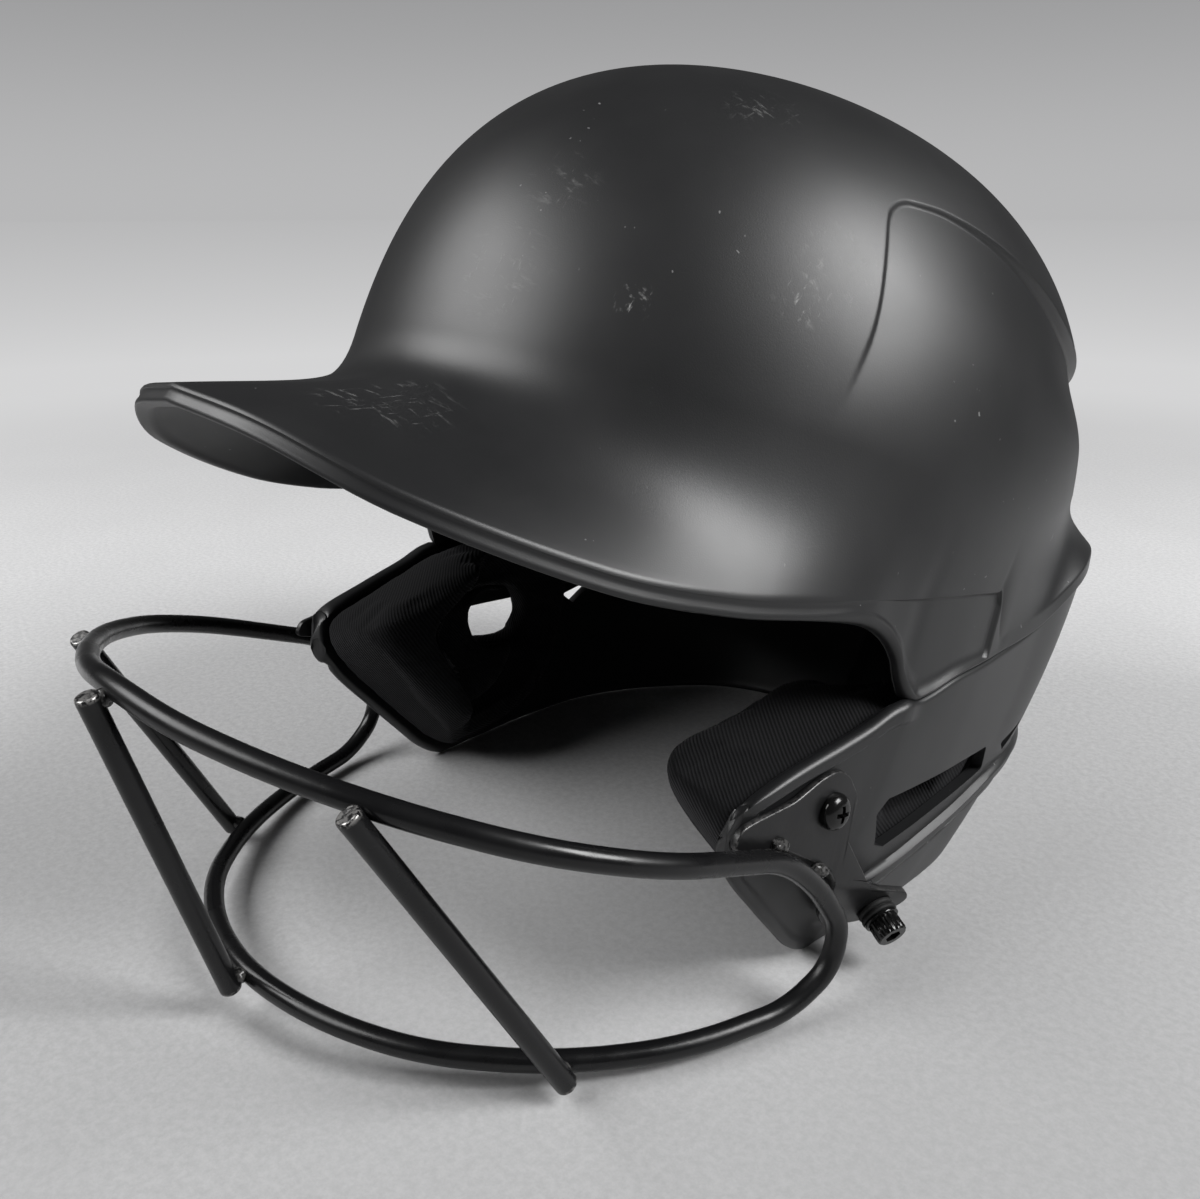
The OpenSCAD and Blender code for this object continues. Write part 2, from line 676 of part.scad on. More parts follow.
// The panel and the tab run into each other at the bend
bend_lap = 1.2;
tab_lap = 0.3;
screw_yz = [-43, -72];
bolt_y = -5;
bolt_down = 8;
PANEL = [
  [-75, -84], [-74.5, -79], [-70, -76.5], [-58, -71], [-50, -64.5], [-45, -62], [-40, -62.6],
  [-33.5, -68], [-33, -79], [-17, tab_top_z], [-17.8, tab_top_z - bend_lap],
  [-30.5, tab_top_z - bend_lap], [-32, tab_top_z], [-37, -87], [-58, -82.5]
];
TAB = [
  [-31.5, tab_lap], [-17.5, tab_lap], [3, -1], [7, -4], [5, -8], [-5, -14], [-19, -16.5], [-26, -12]
];

// Frames of the two fasteners on the left side, z along the outward axis
module at_panel() {
  translate([plate_inner_x, plate_pivot_y, 0]) rotate([0, 0, -plate_yaw]) translate([0, -plate_pivot_y, 0])
    children();
}
module at_screw() {
  at_panel() translate([plate_t, screw_yz[0], screw_yz[1]]) rotate([0, 90, 0]) children();
}
module at_tab() {
  at_panel() translate([0, 0, tab_top_z]) rotate([0, tab_tilt, 0]) children();
}
module at_bolt() {
  at_tab() translate([plate_t, bolt_y, -bolt_down]) rotate([0, 90, 0]) children();
}
hole_d = thread_d + hole_clearance;
hole_reach = 6;
barrel_reach = 14;
module thread_hole() {
  translate([0, 0, -hole_reach]) cylinder(h = 2 * hole_reach, d = hole_d);
}
module barrel_hole() {
  translate([0, 0, -barrel_reach])
    cylinder(h = barrel_reach + hole_reach, d = nut_barrel_d + hole_clearance);
}
module left_plate() {
  difference() {
    union() {
      at_panel() rotate([90, 0, 90]) linear_extrude(plate_t) polygon(PANEL);
      at_tab() rotate([90, 0, 90]) linear_extrude(plate_t) polygon(TAB);
    }
    at_screw() thread_hole();
    at_bolt() thread_hole();
  }
}
module side_plate_left() color("#1e1e20") resting() left_plate();
module side_plate_right() color("#1e1e20") resting() mirror([1, 0, 0]) left_plate();

// Weld beads fill the corner between each strut and hoop, and along the plates
bead_d = 4.2;
bead_back = 1.6;
bead_rise = 0.6;
PLATE_BEADS = [[-60, -81.6], [-42, -87.2]];
function on_strut(s, end) =
  let (along = unit(s[1] - s[0]), out = unit(s[2] - along * (along * s[2])))
  s[end] + out * wire_d / 2 + along * (end == 0 ? 1 : -1) * bead_back;
module strut_bead(s, end, bends) {
  difference() {
    translate(on_strut(s, end)) sphere(d = bead_d);
    strut(s);
    for (i = bends) bend(GUARD_LOOP, i, wire_d);
  }
}
last_corner = len(GUARD_LOOP) - 1;
module weld_beads() {
  color("#2b2b2e") resting() {
    strut_bead(STRUT_CENTER, 0, [0, last_corner]);
    strut_bead(STRUT_CENTER, 1, [14, 15]);
    both_sides() {
      strut_bead(STRUT_SIDE, 0, [2, 3]);
      strut_bead(STRUT_SIDE, 1, [11, 12]);
      for (p = PLATE_BEADS) difference() {
        translate([on_plate(p[0]) - wire_d / 2 + bead_rise, p[0], p[1]]) sphere(d = bead_d);
        at_panel() translate([-6, -100, -120]) cube([6 + plate_t, 100, 60]);
        for (i = [5, 6, 7]) bend(GUARD_LOOP, i, wire_d);
      }
    }
  }
}

// Upper screws: pan heads with a cross recess, in nuts that press on the wall from inside
screw_length = 9;
crown_ratio = 1.5;
recess_l = 5.2;
recess_w = 1.2;
recess_depth = 1.4;
module pan_head() {
  crown_d = screw_head_d * crown_ratio;
  difference() {
    intersection() {
      cylinder(h = screw_head_h, d = screw_head_d);
      translate([0, 0, screw_head_h - crown_d / 2]) sphere(d = crown_d, $fn = 48);
    }
    for (turn = [0, 90]) rotate([0, 0, turn])
      translate([-recess_l / 2, -recess_w / 2, screw_head_h - recess_depth])
        cube([recess_l, recess_w, 2 * recess_depth]);
  }
}
module upper_screws() {
  color("#101012") resting() both_sides() at_screw() {
    pan_head();
    translate([0, 0, -screw_length]) cylinder(h = screw_length, d = thread_d);
  }
}
bolt_length = 12;
socket_d = 4.6;
socket_depth = 2.6;
module socket_head() {
  difference() {
    cylinder(h = bolt_head_h, d = bolt_head_d);
    translate([0, 0, bolt_head_h - socket_depth]) cylinder(h = socket_depth + 1, d = socket_d, $fn = 6);
  }
}
module lower_bolts() {
  color("#101012") resting() both_sides() at_bolt() translate([0, 0, bushing_h + washer_t]) {
    socket_head();
    translate([0, 0, -bolt_length - bushing_h]) cylinder(h = bolt_length + bushing_h, d = thread_d);
  }
}
module bolt_washers() {
  color("#151517") resting() both_sides() at_bolt() translate([0, 0, bushing_h])
    difference() {
      cylinder(h = washer_t, d = washer_d);
      translate([0, 0, -1]) cylinder(h = washer_t + 2, d = hole_d);
    }
}
module rubber_bushings() {
  color("#0d0d0e") resting() both_sides() at_bolt()
    difference() {
      cylinder(h = bushing_h, d = bushing_d);
      translate([0, 0, -1]) cylinder(h = bushing_h + 2, d = hole_d);
    }
}

// Nuts with a barrel through the wall and a flange on its inside
nut_slack = 0.1;
module t_nut(depth) {
  translate([0, 0, -depth]) difference() {
    union() {
      cylinder(h = nut_flange_t, d = nut_flange_d);
      cylinder(h = depth - plate_t - glue_gap, d = nut_barrel_d);
    }
    translate([0, 0, -1]) cylinder(h = depth + 2, d = thread_d + nut_slack);
  }
}
module upper_t_nuts() {
  color("#8f9194") resting() both_sides() at_screw() t_nut(screw_seat + nut_flange_t);
}
module lower_t_nuts() {
  color("#8f9194") resting() both_sides() at_bolt() t_nut(bolt_seat + nut_flange_t);
}

upper_shell();
lower_shell();
foam_liner();
front_pad();
crown_pad();
side_pad_left();
side_pad_right();
rear_pad();
jaw_pad_left();
jaw_pad_right();
ear_pad_left();
ear_pad_right();
guard_loop();
guard_strut_center();
guard_strut_left();
guard_strut_right();
side_plate_left();
side_plate_right();
weld_beads();
upper_screws();
upper_t_nuts();
lower_bolts();
bolt_washers();
rubber_bushings();
lower_t_nuts();
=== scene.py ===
"""A softball batting helmet with a wire face guard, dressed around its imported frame.

Lengths are in millimetres in the helmet's own frame, where +X is the wearer's left, the face looks
along -Y and +Z is the crown. rest() turns points into the frame's metres, as the helmet stands.
"""
import math

import bmesh
import bpy
import numpy as np
from mathutils import Matrix, Vector


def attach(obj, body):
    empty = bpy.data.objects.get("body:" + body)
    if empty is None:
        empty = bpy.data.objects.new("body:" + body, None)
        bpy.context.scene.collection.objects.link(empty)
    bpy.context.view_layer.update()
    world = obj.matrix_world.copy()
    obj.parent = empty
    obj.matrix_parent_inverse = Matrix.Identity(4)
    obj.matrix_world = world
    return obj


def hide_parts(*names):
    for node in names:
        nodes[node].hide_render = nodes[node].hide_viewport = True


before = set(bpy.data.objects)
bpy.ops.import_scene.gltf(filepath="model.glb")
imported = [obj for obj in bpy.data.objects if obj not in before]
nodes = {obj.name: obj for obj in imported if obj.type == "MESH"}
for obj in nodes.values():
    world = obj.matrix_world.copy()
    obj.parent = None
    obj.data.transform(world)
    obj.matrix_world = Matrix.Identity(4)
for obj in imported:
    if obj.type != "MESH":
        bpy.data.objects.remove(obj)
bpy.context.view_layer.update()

# Dome
dome_half_width = 105.5
dome_half_length = 128.5
dome_height = 119.0
dome_fullness = 0.77
upper_wall = 3.2
scallop_front_depth = 0.9
scallop_back_depth = 3.2
scallop_step = 1.0

# Brim, lower shell and stand
brim_y = -184.0
brim_edge = 4.6
brim_lip = 4.0
lower_wall = 3.2
seam_step = 1.6
seam_gap = 0.3
pitch = math.radians(23)
rim_drop = 114.4
box_middle = 34.15

# Padding
liner_wall = 11.0
glue_gap = 0.3
comfort_pad = 9.0
jaw_pad_front = 33.0
jaw_pad_back = 16.0
jaw_pad_ear = 11.0
ear_pad = 5.0

# Guard and fasteners
wire_d = 5.6
strut_end = 0.8
side_wire_x = 103.5
plate_t = 2.0
plate_yaw = 5.5
tab_tilt = 30.0
thread_d = 5.0
screw_head_d = 9.6
screw_head_h = 3.6
bolt_head_d = 8.6
bolt_head_h = 5.0
screw_length = 9.0
bolt_length = 12.0
hole_d = 7.2
bore_d = 5.4
socket_d = 4.7
socket_depth = 2.6
bushing_d = 10.4
bushing_h = 3.2
washer_d = 10.0
washer_t = 1.0


# Number helpers
flip = np.array([-1.0, 1.0, 1.0])


def unit(v):
    """Vectors of length 1."""
    return v / np.maximum(np.linalg.norm(v, axis=-1, keepdims=True), 1e-9)


def ease(t):
    """A smooth step from 0 to 1."""
    t = np.clip(t, 0, 1)
    return t * t * (3 - 2 * t)


def vec(x, y, z):
    """Points from three arrays that broadcast."""
    return np.stack(np.broadcast_arrays(*[np.asarray(a, float) for a in (x, y, z)]), -1)


def flat(p):
    """The points with no height."""
    return p * np.array([1.0, 1.0, 0.0])


def up(z):
    """Vertical vectors of height z."""
    return vec(0 * np.asarray(z, float), 0, z)


def curve(table, key):
    """Smooth values at the keys, through the rows [key, value...] of a table."""
    rows = np.array(table, float)
    keys, values = rows[:, 0], rows[:, 1:]
    before = np.maximum(np.arange(len(keys)) - 1, 0)
    after = np.minimum(np.arange(len(keys)) + 1, len(keys) - 1)
    slopes = (values[after] - values[before]) / (keys[after] - keys[before])[:, None]
    key = np.clip(np.asarray(key, float), keys[0], keys[-1])
    i = np.clip(np.searchsorted(keys, key, side="right") - 1, 0, len(keys) - 2)
    span = (keys[i + 1] - keys[i])[..., None]
    t = (key[..., None] - keys[i][..., None]) / span
    return (
        values[i] * (2 * t**3 - 3 * t**2 + 1)
        + slopes[i] * span * (t**3 - 2 * t**2 + t)
        + values[i + 1] * (3 * t**2 - 2 * t**3)
        + slopes[i + 1] * span * (t**3 - t**2)
    )


def bezier(p, t):
    """Points at t on cubic curves with the four corners p."""
    t = np.asarray(t, float)[..., None]
    return p[0] * (1 - t) ** 3 + p[1] * 3 * t * (1 - t) ** 2 + p[2] * 3 * t**2 * (1 - t) + p[3] * t**3


def rest(p):
    """Points of the helmet's frame, in millimetres, as it stands, in metres."""
    p = np.asarray(p, float)
    c, s = math.cos(pitch), math.sin(pitch)
    x, y, z = p[..., 0], p[..., 1], p[..., 2]
    return vec(x, y * c + z * s + box_middle, z * c - y * s + rim_drop * c) / 1000


# The dome and the scallop under its crest
def cosd(u):
    return np.cos(np.radians(u))


def sind(u):
    return np.sin(np.radians(u))


def latitude(z):
    """Angle of the dome at height z."""
    return np.degrees(np.arcsin((np.maximum(z, 0) / dome_height) ** (1 / dome_fullness)))


def dome_at(u, v, inset=0.0):
    c = np.abs(cosd(v)) ** dome_fullness
    return vec(
        (dome_half_width - inset) * sind(u) * c,
        -(dome_half_length - inset) * cosd(u) * c,
        (dome_height - inset) * sind(v) ** dome_fullness,
    )


CREST = [
    [57, 75.5], [60.5, 76.6], [67, 78.6], [79, 78.4], [91, 75.4], [104, 71], [130, 68.5], [180, 68]
]
SCALLOP_FRONT = [[18, 55.8], [22, 56.3], [32, 57.3], [40, 57.9], [48, 58.0], [63, 57.4], [80, 56.6]]
scallop_corner = 8.0
scallop_from = 57.2
scallop_full = 106.0
panel_sink = 1.1
brim_groove = 0.3
panel_end = 93.0
scallop_foot = 16.0
overhang_foot = 42.0


def crest_z(u):
    return curve(CREST, u)[..., 0]


def scallop_depth(u, z):
    """How deep the dome is drawn in at angle u and height z."""
    behind = (u - curve(SCALLOP_FRONT, z)[..., 0]) * 1.9
    below = (crest_z(u) - z) * 1.1
    near = np.minimum(behind, below)
    a, b = scallop_corner - behind, scallop_corner - below
    round_off = scallop_corner - np.hypot(np.maximum(a, 0), np.maximum(b, 0))
    distance = np.where((a > 0) & (b > 0), round_off, near)
    reach = ease((u - scallop_from) / (scallop_full - scallop_from))
    long_fade = ease((z - scallop_foot) / (0.55 * (crest_z(u) - scallop_foot)))
    short_fade = ease((z - overhang_foot) / (0.8 * (crest_z(u) - overhang_foot)))
    depth = scallop_front_depth * (1 - reach) * long_fade + scallop_back_depth * reach * short_fade
    return depth * ease(distance / scallop_step)


def dome_skin(u, v, inset):
    p = dome_at(u, v, inset)
    return p - unit(p) * scallop_depth(u, p[..., 2])[..., None]


# The upper shell's lower edge: brim, temple, and skirt round the back
EDGE = [
    [0, 0, brim_y, -22.5], [11, 28, brim_y + 6, -25], [23, 55, brim_y + 25, -31.5],
    [39, 79, brim_y + 64, -35.2], [50.5, 89.5, -90, -33], [61, 96, -65, -28.5],
    [68, 99, -50, -27], [72, 100, -41, -28.5], [75, 101, -34.5, -32.5], [77, 101.5, -30, -38],
    [79, 102.5, -25.5, -41.8], [82, 103.5, -18, -39.2], [87, 104.5, -7, -32.6],
    [91, 104.8, 2, -28.5], [95, 104.8, 11, -24.4], [106, 105, 36, -11.5], [115, 104, 58, 6],
    [130, 88.5, 89, 17], [150, 56, 119, 23], [180, 0, 137.5, 25]
]
FACE = [
    [0, 1], [61, 1.25], [68, 1.7], [72, 2.4], [75, 3.6], [77, 5.05], [79, 6.15], [82, 6],
    [87, 5.15], [91, 4.7], [92, 4.6], [95, 1.2], [97, 1.1], [106, 1.1], [180, 1.1]
]
SWEEP = [
    [0, 14, 18, 13], [23, 14, 20, 16], [39, 14, 21, 17], [50, 14, 20, 15], [66, 14, 14, 12],
    [80, 13, 9, 8], [90, 13, 8, 7], [100, 18, 9, 7], [115, 30, 7, 6], [140, 42, 8, 6], [180, 44, 8, 6]
]
face_draft = 0.6
outward_pull = 0.6
brim_reach = 9.0


def edge(u):
    return curve(EDGE, u)


def face_height(u):
    return brim_edge * curve(FACE, u)[..., 0]


def outward(u):
    return unit(flat(edge(u)) - outward_pull * flat(dome_at(u, 0 * u)))


def brimness(u):
    reach = np.linalg.norm(flat(edge(u)) - flat(dome_at(u, 0 * u)), axis=-1)
    return reach / (reach + brim_reach)


def crease(u):
    return edge(u) + up(face_height(u)) - outward(u) * face_draft


def inner_crease(u):
    drop = brimness(u) * (face_height(u) - 0.8)
    return crease(u) - outward(u) * (brim_lip + 1) - up(drop)


def sweep_points(u, inset):
    """The four corners of the curve from the dome out to the crease."""
    s = curve(SWEEP, u)
    top = dome_skin(u, latitude(s[..., 0]), inset)
    low = crease(u)
    run = flat(low) - flat(top)
    b = brimness(u)
    inner = inset > 0
    drop = b * brim_edge * 0.95 if inner else 0 * b
    pull = (1 - b) * inset if inner else 0 * b
    handle = low - 0.72 * run + up(s[..., 2] - drop) - outward(u) * pull[..., None]
    return [top, top - up(s[..., 1]), handle, inner_crease(u) if inner else low]


# Meshes
def linked(name, data):
    """A new object in the scene."""
    ob = bpy.data.objects.new(name, data)
    bpy.context.scene.collection.objects.link(ob)
    return ob


def add_object(name, mesh, material=None):
    ob = linked(name, mesh)
    if material:
        mesh.materials.append(material)
    mesh.shade_smooth()
    return ob


def grid_faces(columns, rows):
    """Quads between the columns of a grid of points that goes all the way round."""
    i = np.arange(columns)[:, None]
    j = np.arange(rows - 1)[None, :]
    n = (i + 1) % columns
    quads = [i * rows + j, n * rows + j, n * rows + j + 1, i * rows + j + 1]
    return np.stack(quads, -1).reshape(-1, 4).tolist()


def tube_faces(columns, around):
    """Quads round a row of closed sections."""
    i = np.arange(columns - 1)[:, None]
    j = np.arange(around)[None, :]
    k = (j + 1) % around
    quads = [i * around + j, (i + 1) * around + j, (i + 1) * around + k, i * around + k]
    return np.stack(np.broadcast_arrays(*quads), -1).reshape(-1, 4).tolist()


def covered_faces(columns, around):
    """Quads round a row of closed sections, with a face over each end."""
    ends = [list(range(around))[::-1], list(range((columns - 1) * around, columns * around))]
    return tube_faces(columns, around) + ends


def mesh_of(name, points, faces):
    """A mesh of points in metres, with its normals turned outward."""
    mesh = bpy.data.meshes.new(name)
    mesh.from_pydata(np.asarray(points).reshape(-1, 3).tolist(), [], faces)
    bm = bmesh.new()
    bm.from_mesh(mesh)
    bmesh.ops.recalc_face_normals(bm, faces=bm.faces)
    bm.to_mesh(mesh)
    bm.free()
    mesh.update()
    return mesh


def solid(name, points, faces, material=None):
    """An object of points in the helmet's frame."""
    return add_object(name, mesh_of(name, rest(points), faces), material)


def spread(spans):
    """Angles over the spans (start, end, how many), and the last one at the back."""
    return np.concatenate([np.linspace(a, b, n, endpoint=False) for a, b, n in spans] + [[180.0]])


def mirrored_columns(half, closed):
    """Angles of the half columns and the side of each, all the way round."""
    end = half[-2:0:-1] if closed else half[-2::-1]
    return np.concatenate([half, end]), np.concatenate([np.ones(len(half)), -np.ones(len(end))])


def rounded(a, b, c, radius, steps):
    """Rows of points that round the corner b between a and c."""
    p = b + unit(a - b) * radius
    q = b + unit(c - b) * radius
    ts = np.linspace(0, 1, steps)
    return [p * (1 - t) ** 2 + b * 2 * t * (1 - t) + q * t**2 for t in ts]


# Columns of the upper shell, closer where the scallop's corner and the temple panel's end are
UPPER_SPANS = [
    (0, 54, 36), (54, 61, 28), (61, 68, 10), (68, 84, 34), (84, 91, 9), (91, 97, 24), (97, 98, 1),
    (98, 112, 12), (112, 180, 44)
]
# Rows of the edge face: the share of its height below the ridge, of the panel's sink and of the groove
PANEL_ROWS = [
    (0.005, 0, 0), (0.02, 0.3, 0), (0.045, 0.95, 0.2), (0.08, 1, 0.6), (0.3, 1, 1), (0.55, 1, 1),
    (0.8, 1, 0.2), (0.98, 0.9, 0)
]


def dome_rows(u, inset):
    """Rows down the dome, close together round the crest."""
    foot = latitude(curve(SWEEP, u)[..., 0])
    crest = latitude(crest_z(u))
    rows = [89.85 * (1 - t) + (crest + 2.5) * t for t in np.linspace(0.012, 1, 34) ** 0.9]
    rows += [crest + d for d in (1.9, 1.4, 1.0, 0.7, 0.4, 0.15, -0.1, -0.35, -0.6, -0.9, -1.2, -1.6, -2.1)]
    rows += [(crest - 2.8) * (1 - t) + foot * t for t in np.linspace(0, 1, 26)]
    return [dome_skin(u, v, inset) for v in rows]


def panel_rows(u, top, bottom):
    """Rows down the edge face, where the bare temple panel lies a little under the ridge."""
    width = ease((u - 66) / 12) * ease((panel_end - u) / 0.6)
    groove = brim_groove * ease((70 - u) / 8)
    k, e, out = crease(u), edge(u), outward(u)
    rows = []
    for part, sink, cut_in in PANEL_ROWS:
        f = (top + part * (1 - top - bottom))[..., None]
        rows.append(k * (1 - f) + e * f - out * (panel_sink * sink * width + groove * cut_in)[..., None])
    return rows


def upper_profile(u):
    """Rows of points from the outer crown down, round the lip and up to the inner crown."""
    outer, inner = sweep_points(u, 0), sweep_points(u, upper_wall)
    e, out = edge(u), outward(u)
    foot_in = e - out * brim_lip
    rows = dome_rows(u, 0)
    rows += [bezier(outer, np.full(u.shape, t)) for t in np.linspace(0.03, 0.955, 22)]
    corner, brim = ease((u - 58) / 12) * ease((80.5 - u) / 2), ease((66 - u) / 10)
    ridge_r, lip_r = 0.7 + 0.2 * brim, 1.1 + 2.7 * corner
    rows += rounded(rows[-1], crease(u), e, ridge_r[..., None], 7)
    rows += panel_rows(u, ridge_r / face_height(u), lip_r / face_height(u))
    rows += rounded(crease(u), e, foot_in, lip_r[..., None], 9)
    rows += rounded(e, foot_in, inner_crease(u), 0.9, 5)
    rows += rounded(foot_in, inner_crease(u), bezier(inner, np.full(u.shape, 0.9)), 1.0, 4)
    rows += [bezier(inner, np.full(u.shape, t)) for t in np.linspace(0.93, 0, 14)]
    foot = latitude(curve(SWEEP, u)[..., 0])
    rows += [dome_skin(u, foot * (1 - t) + 89 * t, upper_wall) for t in np.linspace(0.06, 1, 14)]
    return np.stack(rows, 1)


def build_upper_shell(material):
    """Dome, brim, temples and skirt in one moulding."""
    u, side = mirrored_columns(spread(UPPER_SPANS), True)
    points = upper_profile(u)
    points[..., 0] *= side[:, None]
    columns, rows = points.shape[:2]
    faces = grid_faces(columns, rows)
    top, bottom = columns * rows, columns * rows + 1
    for i in range(columns):
        n = (i + 1) % columns
        faces.append([top, n * rows, i * rows])
        faces.append([bottom, (i + 1) * rows - 1, (n + 1) * rows - 1])
    crown = np.array([[0, 0, dome_height], [0, 0, dome_height - upper_wall]])
    return solid("upper_shell_skin", np.concatenate([points.reshape(-1, 3), crown]), faces, material)


# The lower shell: a band from the flaps' lips round the nape
LIP = [
    [57, 92.2, -71, -78], [58.5, 93.2, -69.5, -74], [61, 94.6, -64.5, -69.5], [65, 96.4, -55, -63],
    [69, 98.4, -46, -57], [73, 100, -37.5, -51], [76, 101.2, -31, -45.5], [79, 102.3, -26, -42.5]
]
RIM = [
    [57, 90.2, -70.6, -84], [58.5, 89.4, -68, -88.5], [62, 88, -59, -95.5], [68, 86.6, -44, -103.5],
    [74, 85.8, -30, -110.5], [80, 85.2, -18, -116], [86, 85, -7, -117.4],
    [95.5, 86.5, 10, -110.2], [107, 88, 33, -100.4], [120, 85.5, 60, -88.9], [138, 71, 87, -77.5],
    [156, 47, 109, -68.1], [180, 0, 121.5, -62.8]
]
BULGE = [
    [57, 1, 1, 1, 2], [61, 2.4, 5, 4.6, 7], [69, 0.6, 11, 9, 16], [79, 0.6, 22, 11.5, 21],
    [90, 0, 28, 11.5, 26], [107, 0, 36, 9, 30], [125, 0, 34, 9, 30], [150, 0, 34, 9, 32], [180, 0, 34, 8, 32]
]
seam_at = 79.0
rail_start = 80.0
rail_height = 2.0
second_height = 1.1
second_down = 8.4
groove_depth = 1.2
first_groove_down = 4.9
last_groove_down = 11.8
flap_front = 57.0
roll_height = 1.6
front_groove_depth = 0.9
hem_height = 0.7


def lip(u):
    low = edge(u) - up(seam_gap + 0 * u) - outward(u) * (seam_step * ease((u - 92) / 16))[..., None]
    return np.where((u <= seam_at)[..., None], curve(LIP, u), low)


def rim(u):
    p = curve(RIM, u)
    plane = -rim_drop + p[..., 1] * math.tan(pitch)
    z = np.where(u >= 86, plane, np.maximum(p[..., 2], plane))
    return vec(p[..., 0], p[..., 1], z)


def section(u):
    b, t, r = curve(BULGE, u), lip(u), rim(u)
    out = unit(flat(t))
    return [t, t + out * b[..., 0:1] - up(b[..., 1]), r + out * b[..., 2:3] + up(b[..., 3]), r]


def body_at(u, t):
    u, t = np.broadcast_arrays(np.asarray(u, float), np.asarray(t, float))
    return bezier(section(u), t)


def body_normal(u, t):
    u, t = np.broadcast_arrays(np.asarray(u, float), np.asarray(t, float))
    du = body_at(np.minimum(u + 1, 180), t) - body_at(u - (u >= 179.5), t)
    t0 = np.minimum(t, 0.98)
    return unit(np.cross(body_at(u, t0 + 0.02) - body_at(u, t0), du))


def rail_row(u):
    """How far down the band the rail runs: it climbs towards the back."""
    return 0.72 - 0.12 * ease((u - 86) / 28)


def body_relief(u, t):
    """Height of the rolled lip, the rail and its grooves over the band."""
    length = np.linalg.norm(rim(u) - lip(u), axis=-1)
    from_lip, from_rim = t * length, (1 - t) * length
    open_lip = ease((81.5 - u) / 3)
    from_front = np.linalg.norm(body_at(u, t) - body_at(0 * u + flap_front, t), axis=-1)
    roll = roll_height * np.maximum(open_lip * ease((6.6 - from_lip) / 2.0), ease((7.5 - from_front) / 2.0))
    front_groove = front_groove_depth * np.exp(-(((from_front - 9.5) / 1.4) ** 2))
    roll = roll - front_groove * ease((from_lip - 8) / 4)
    hem = hem_height * ease((96 - u) / 8) * ease((5.0 - from_rim) / 1.5)
    on = ease((u - rail_start) / 9)
    down = (t - rail_row(u)) * length
    rail = rail_height * ease((3.6 - np.abs(down)) / 1.5)
    second = second_height * ease((2.4 - np.abs(down - second_down)) / 1.2)
    grooves = np.exp(-(((down - first_groove_down) / 0.8) ** 2))
    grooves = grooves + 0.8 * np.exp(-(((down - last_groove_down) / 0.8) ** 2))
    return roll + hem * (1 - on) + on * (rail + second - groove_depth * grooves)


SLOT = [[-18, -72.5], [-16.5, -69], [31.5, -51.8], [36, -57], [-6, -81], [-11, -80.5]]
VENT = [[46, -48.5], [57, -41], [50, -50]]
LOWER_SPANS = [(58.2, 64, 30), (64, 92, 60), (92, 112, 34), (112, 180, 60)]
lip_round = 1.6
slot_corner = 1.4
vent_corner = 0.8


def band_rows(u, t_in):
    """Rows from lip to rim, close together at the rolled lip and along the rail."""
    low = float(rail_row(np.array(u)))
    steps = np.concatenate([np.linspace(0, 0.2, 16), np.linspace(0.23, 1, 20)])
    above = t_in + (low - 0.06 - t_in) * steps
    rail = np.linspace(low - 0.057, low + 0.16, 48)
    return np.concatenate([above, rail, np.linspace(low + 0.17, 1 - t_in, 10)])


def wall_section(u, t_in):
    """The closed section of the wall at one angle, with rounded ends."""
    ts, half = band_rows(float(u[0]), t_in), lower_wall / 2
    normal = body_normal(u[:, None], ts[None])
    mid = body_at(u[:, None], ts[None]) - normal * half
    outer = mid + normal * (half + body_relief(u[:, None], ts[None])[..., None])
    inner = mid - normal * half
    turns = np.radians(np.linspace(0, 180, 9))[1:-1]

    def cap(end, inside):
        along = unit(mid[:, end] - mid[:, inside])
        a, b = outer[:, end], inner[:, end]
        centre, radius = (a + b) / 2, np.linalg.norm(a - b, axis=-1, keepdims=True) / 2
        return [centre + unit(a - b) * radius * math.cos(w) + along * radius * math.sin(w) for w in turns]

    low, high = cap(-1, -2), cap(0, 1)[::-1]
    return np.concatenate([outer, np.stack(low, 1), inner[:, ::-1], np.stack(high, 1)], 1)[0]


def build_lower_shell(material):
    """Both jaw flaps and the band round the nape, with slots, vents and bolt holes."""
    u, side = mirrored_columns(spread(LOWER_SPANS), False)
    lip_inset = np.minimum(lip_round / np.linalg.norm(rim(u) - lip(u), axis=-1), 0.2)
    points = np.stack([wall_section(u[k:k + 1], float(lip_inset[k])) for k in range(len(u))])
    points[..., 0] *= side[:, None]
    first, middle = points[0], points[0].mean(0)
    ahead = unit(middle - points[1].mean(0))
    nose = np.stack([middle + (first - middle) * (0.35 + 0.65 * math.cos(w)) + ahead * lip_round * math.sin(w)
                     for w in np.radians([85, 70, 50, 25])])
    points = np.concatenate([nose, points, nose[::-1] * flip])
    columns, around = points.shape[:2]
    shell = solid("lower_shell_skin", points, covered_faces(columns, around), material)
    cutters = [side_cutter("slot_cutter", SLOT, slot_corner), side_cutter("vent_cutter", VENT, vent_corner)]
    cutters += [hole_cutter("screw_cutter", at_screw()), hole_cutter("bolt_cutter", at_bolt())]
    for cutter in cutters:
        for sign in (1, -1):
            cut(shell, cutter, sign)
        bpy.data.objects.remove(cutter)
    shell.data.shade_smooth()
    sharpen(shell.data, 38)
    return shell


def sharpen(mesh, degrees):
    """Marks the edges steeper than an angle as sharp, so that the rest shades smoothly."""
    bm = bmesh.new()
    bm.from_mesh(mesh)
    limit = math.radians(degrees)
    for e in bm.edges:
        e.smooth = not (len(e.link_faces) == 2 and e.calc_face_angle(0) > limit)
    bm.to_mesh(mesh)
    bm.free()


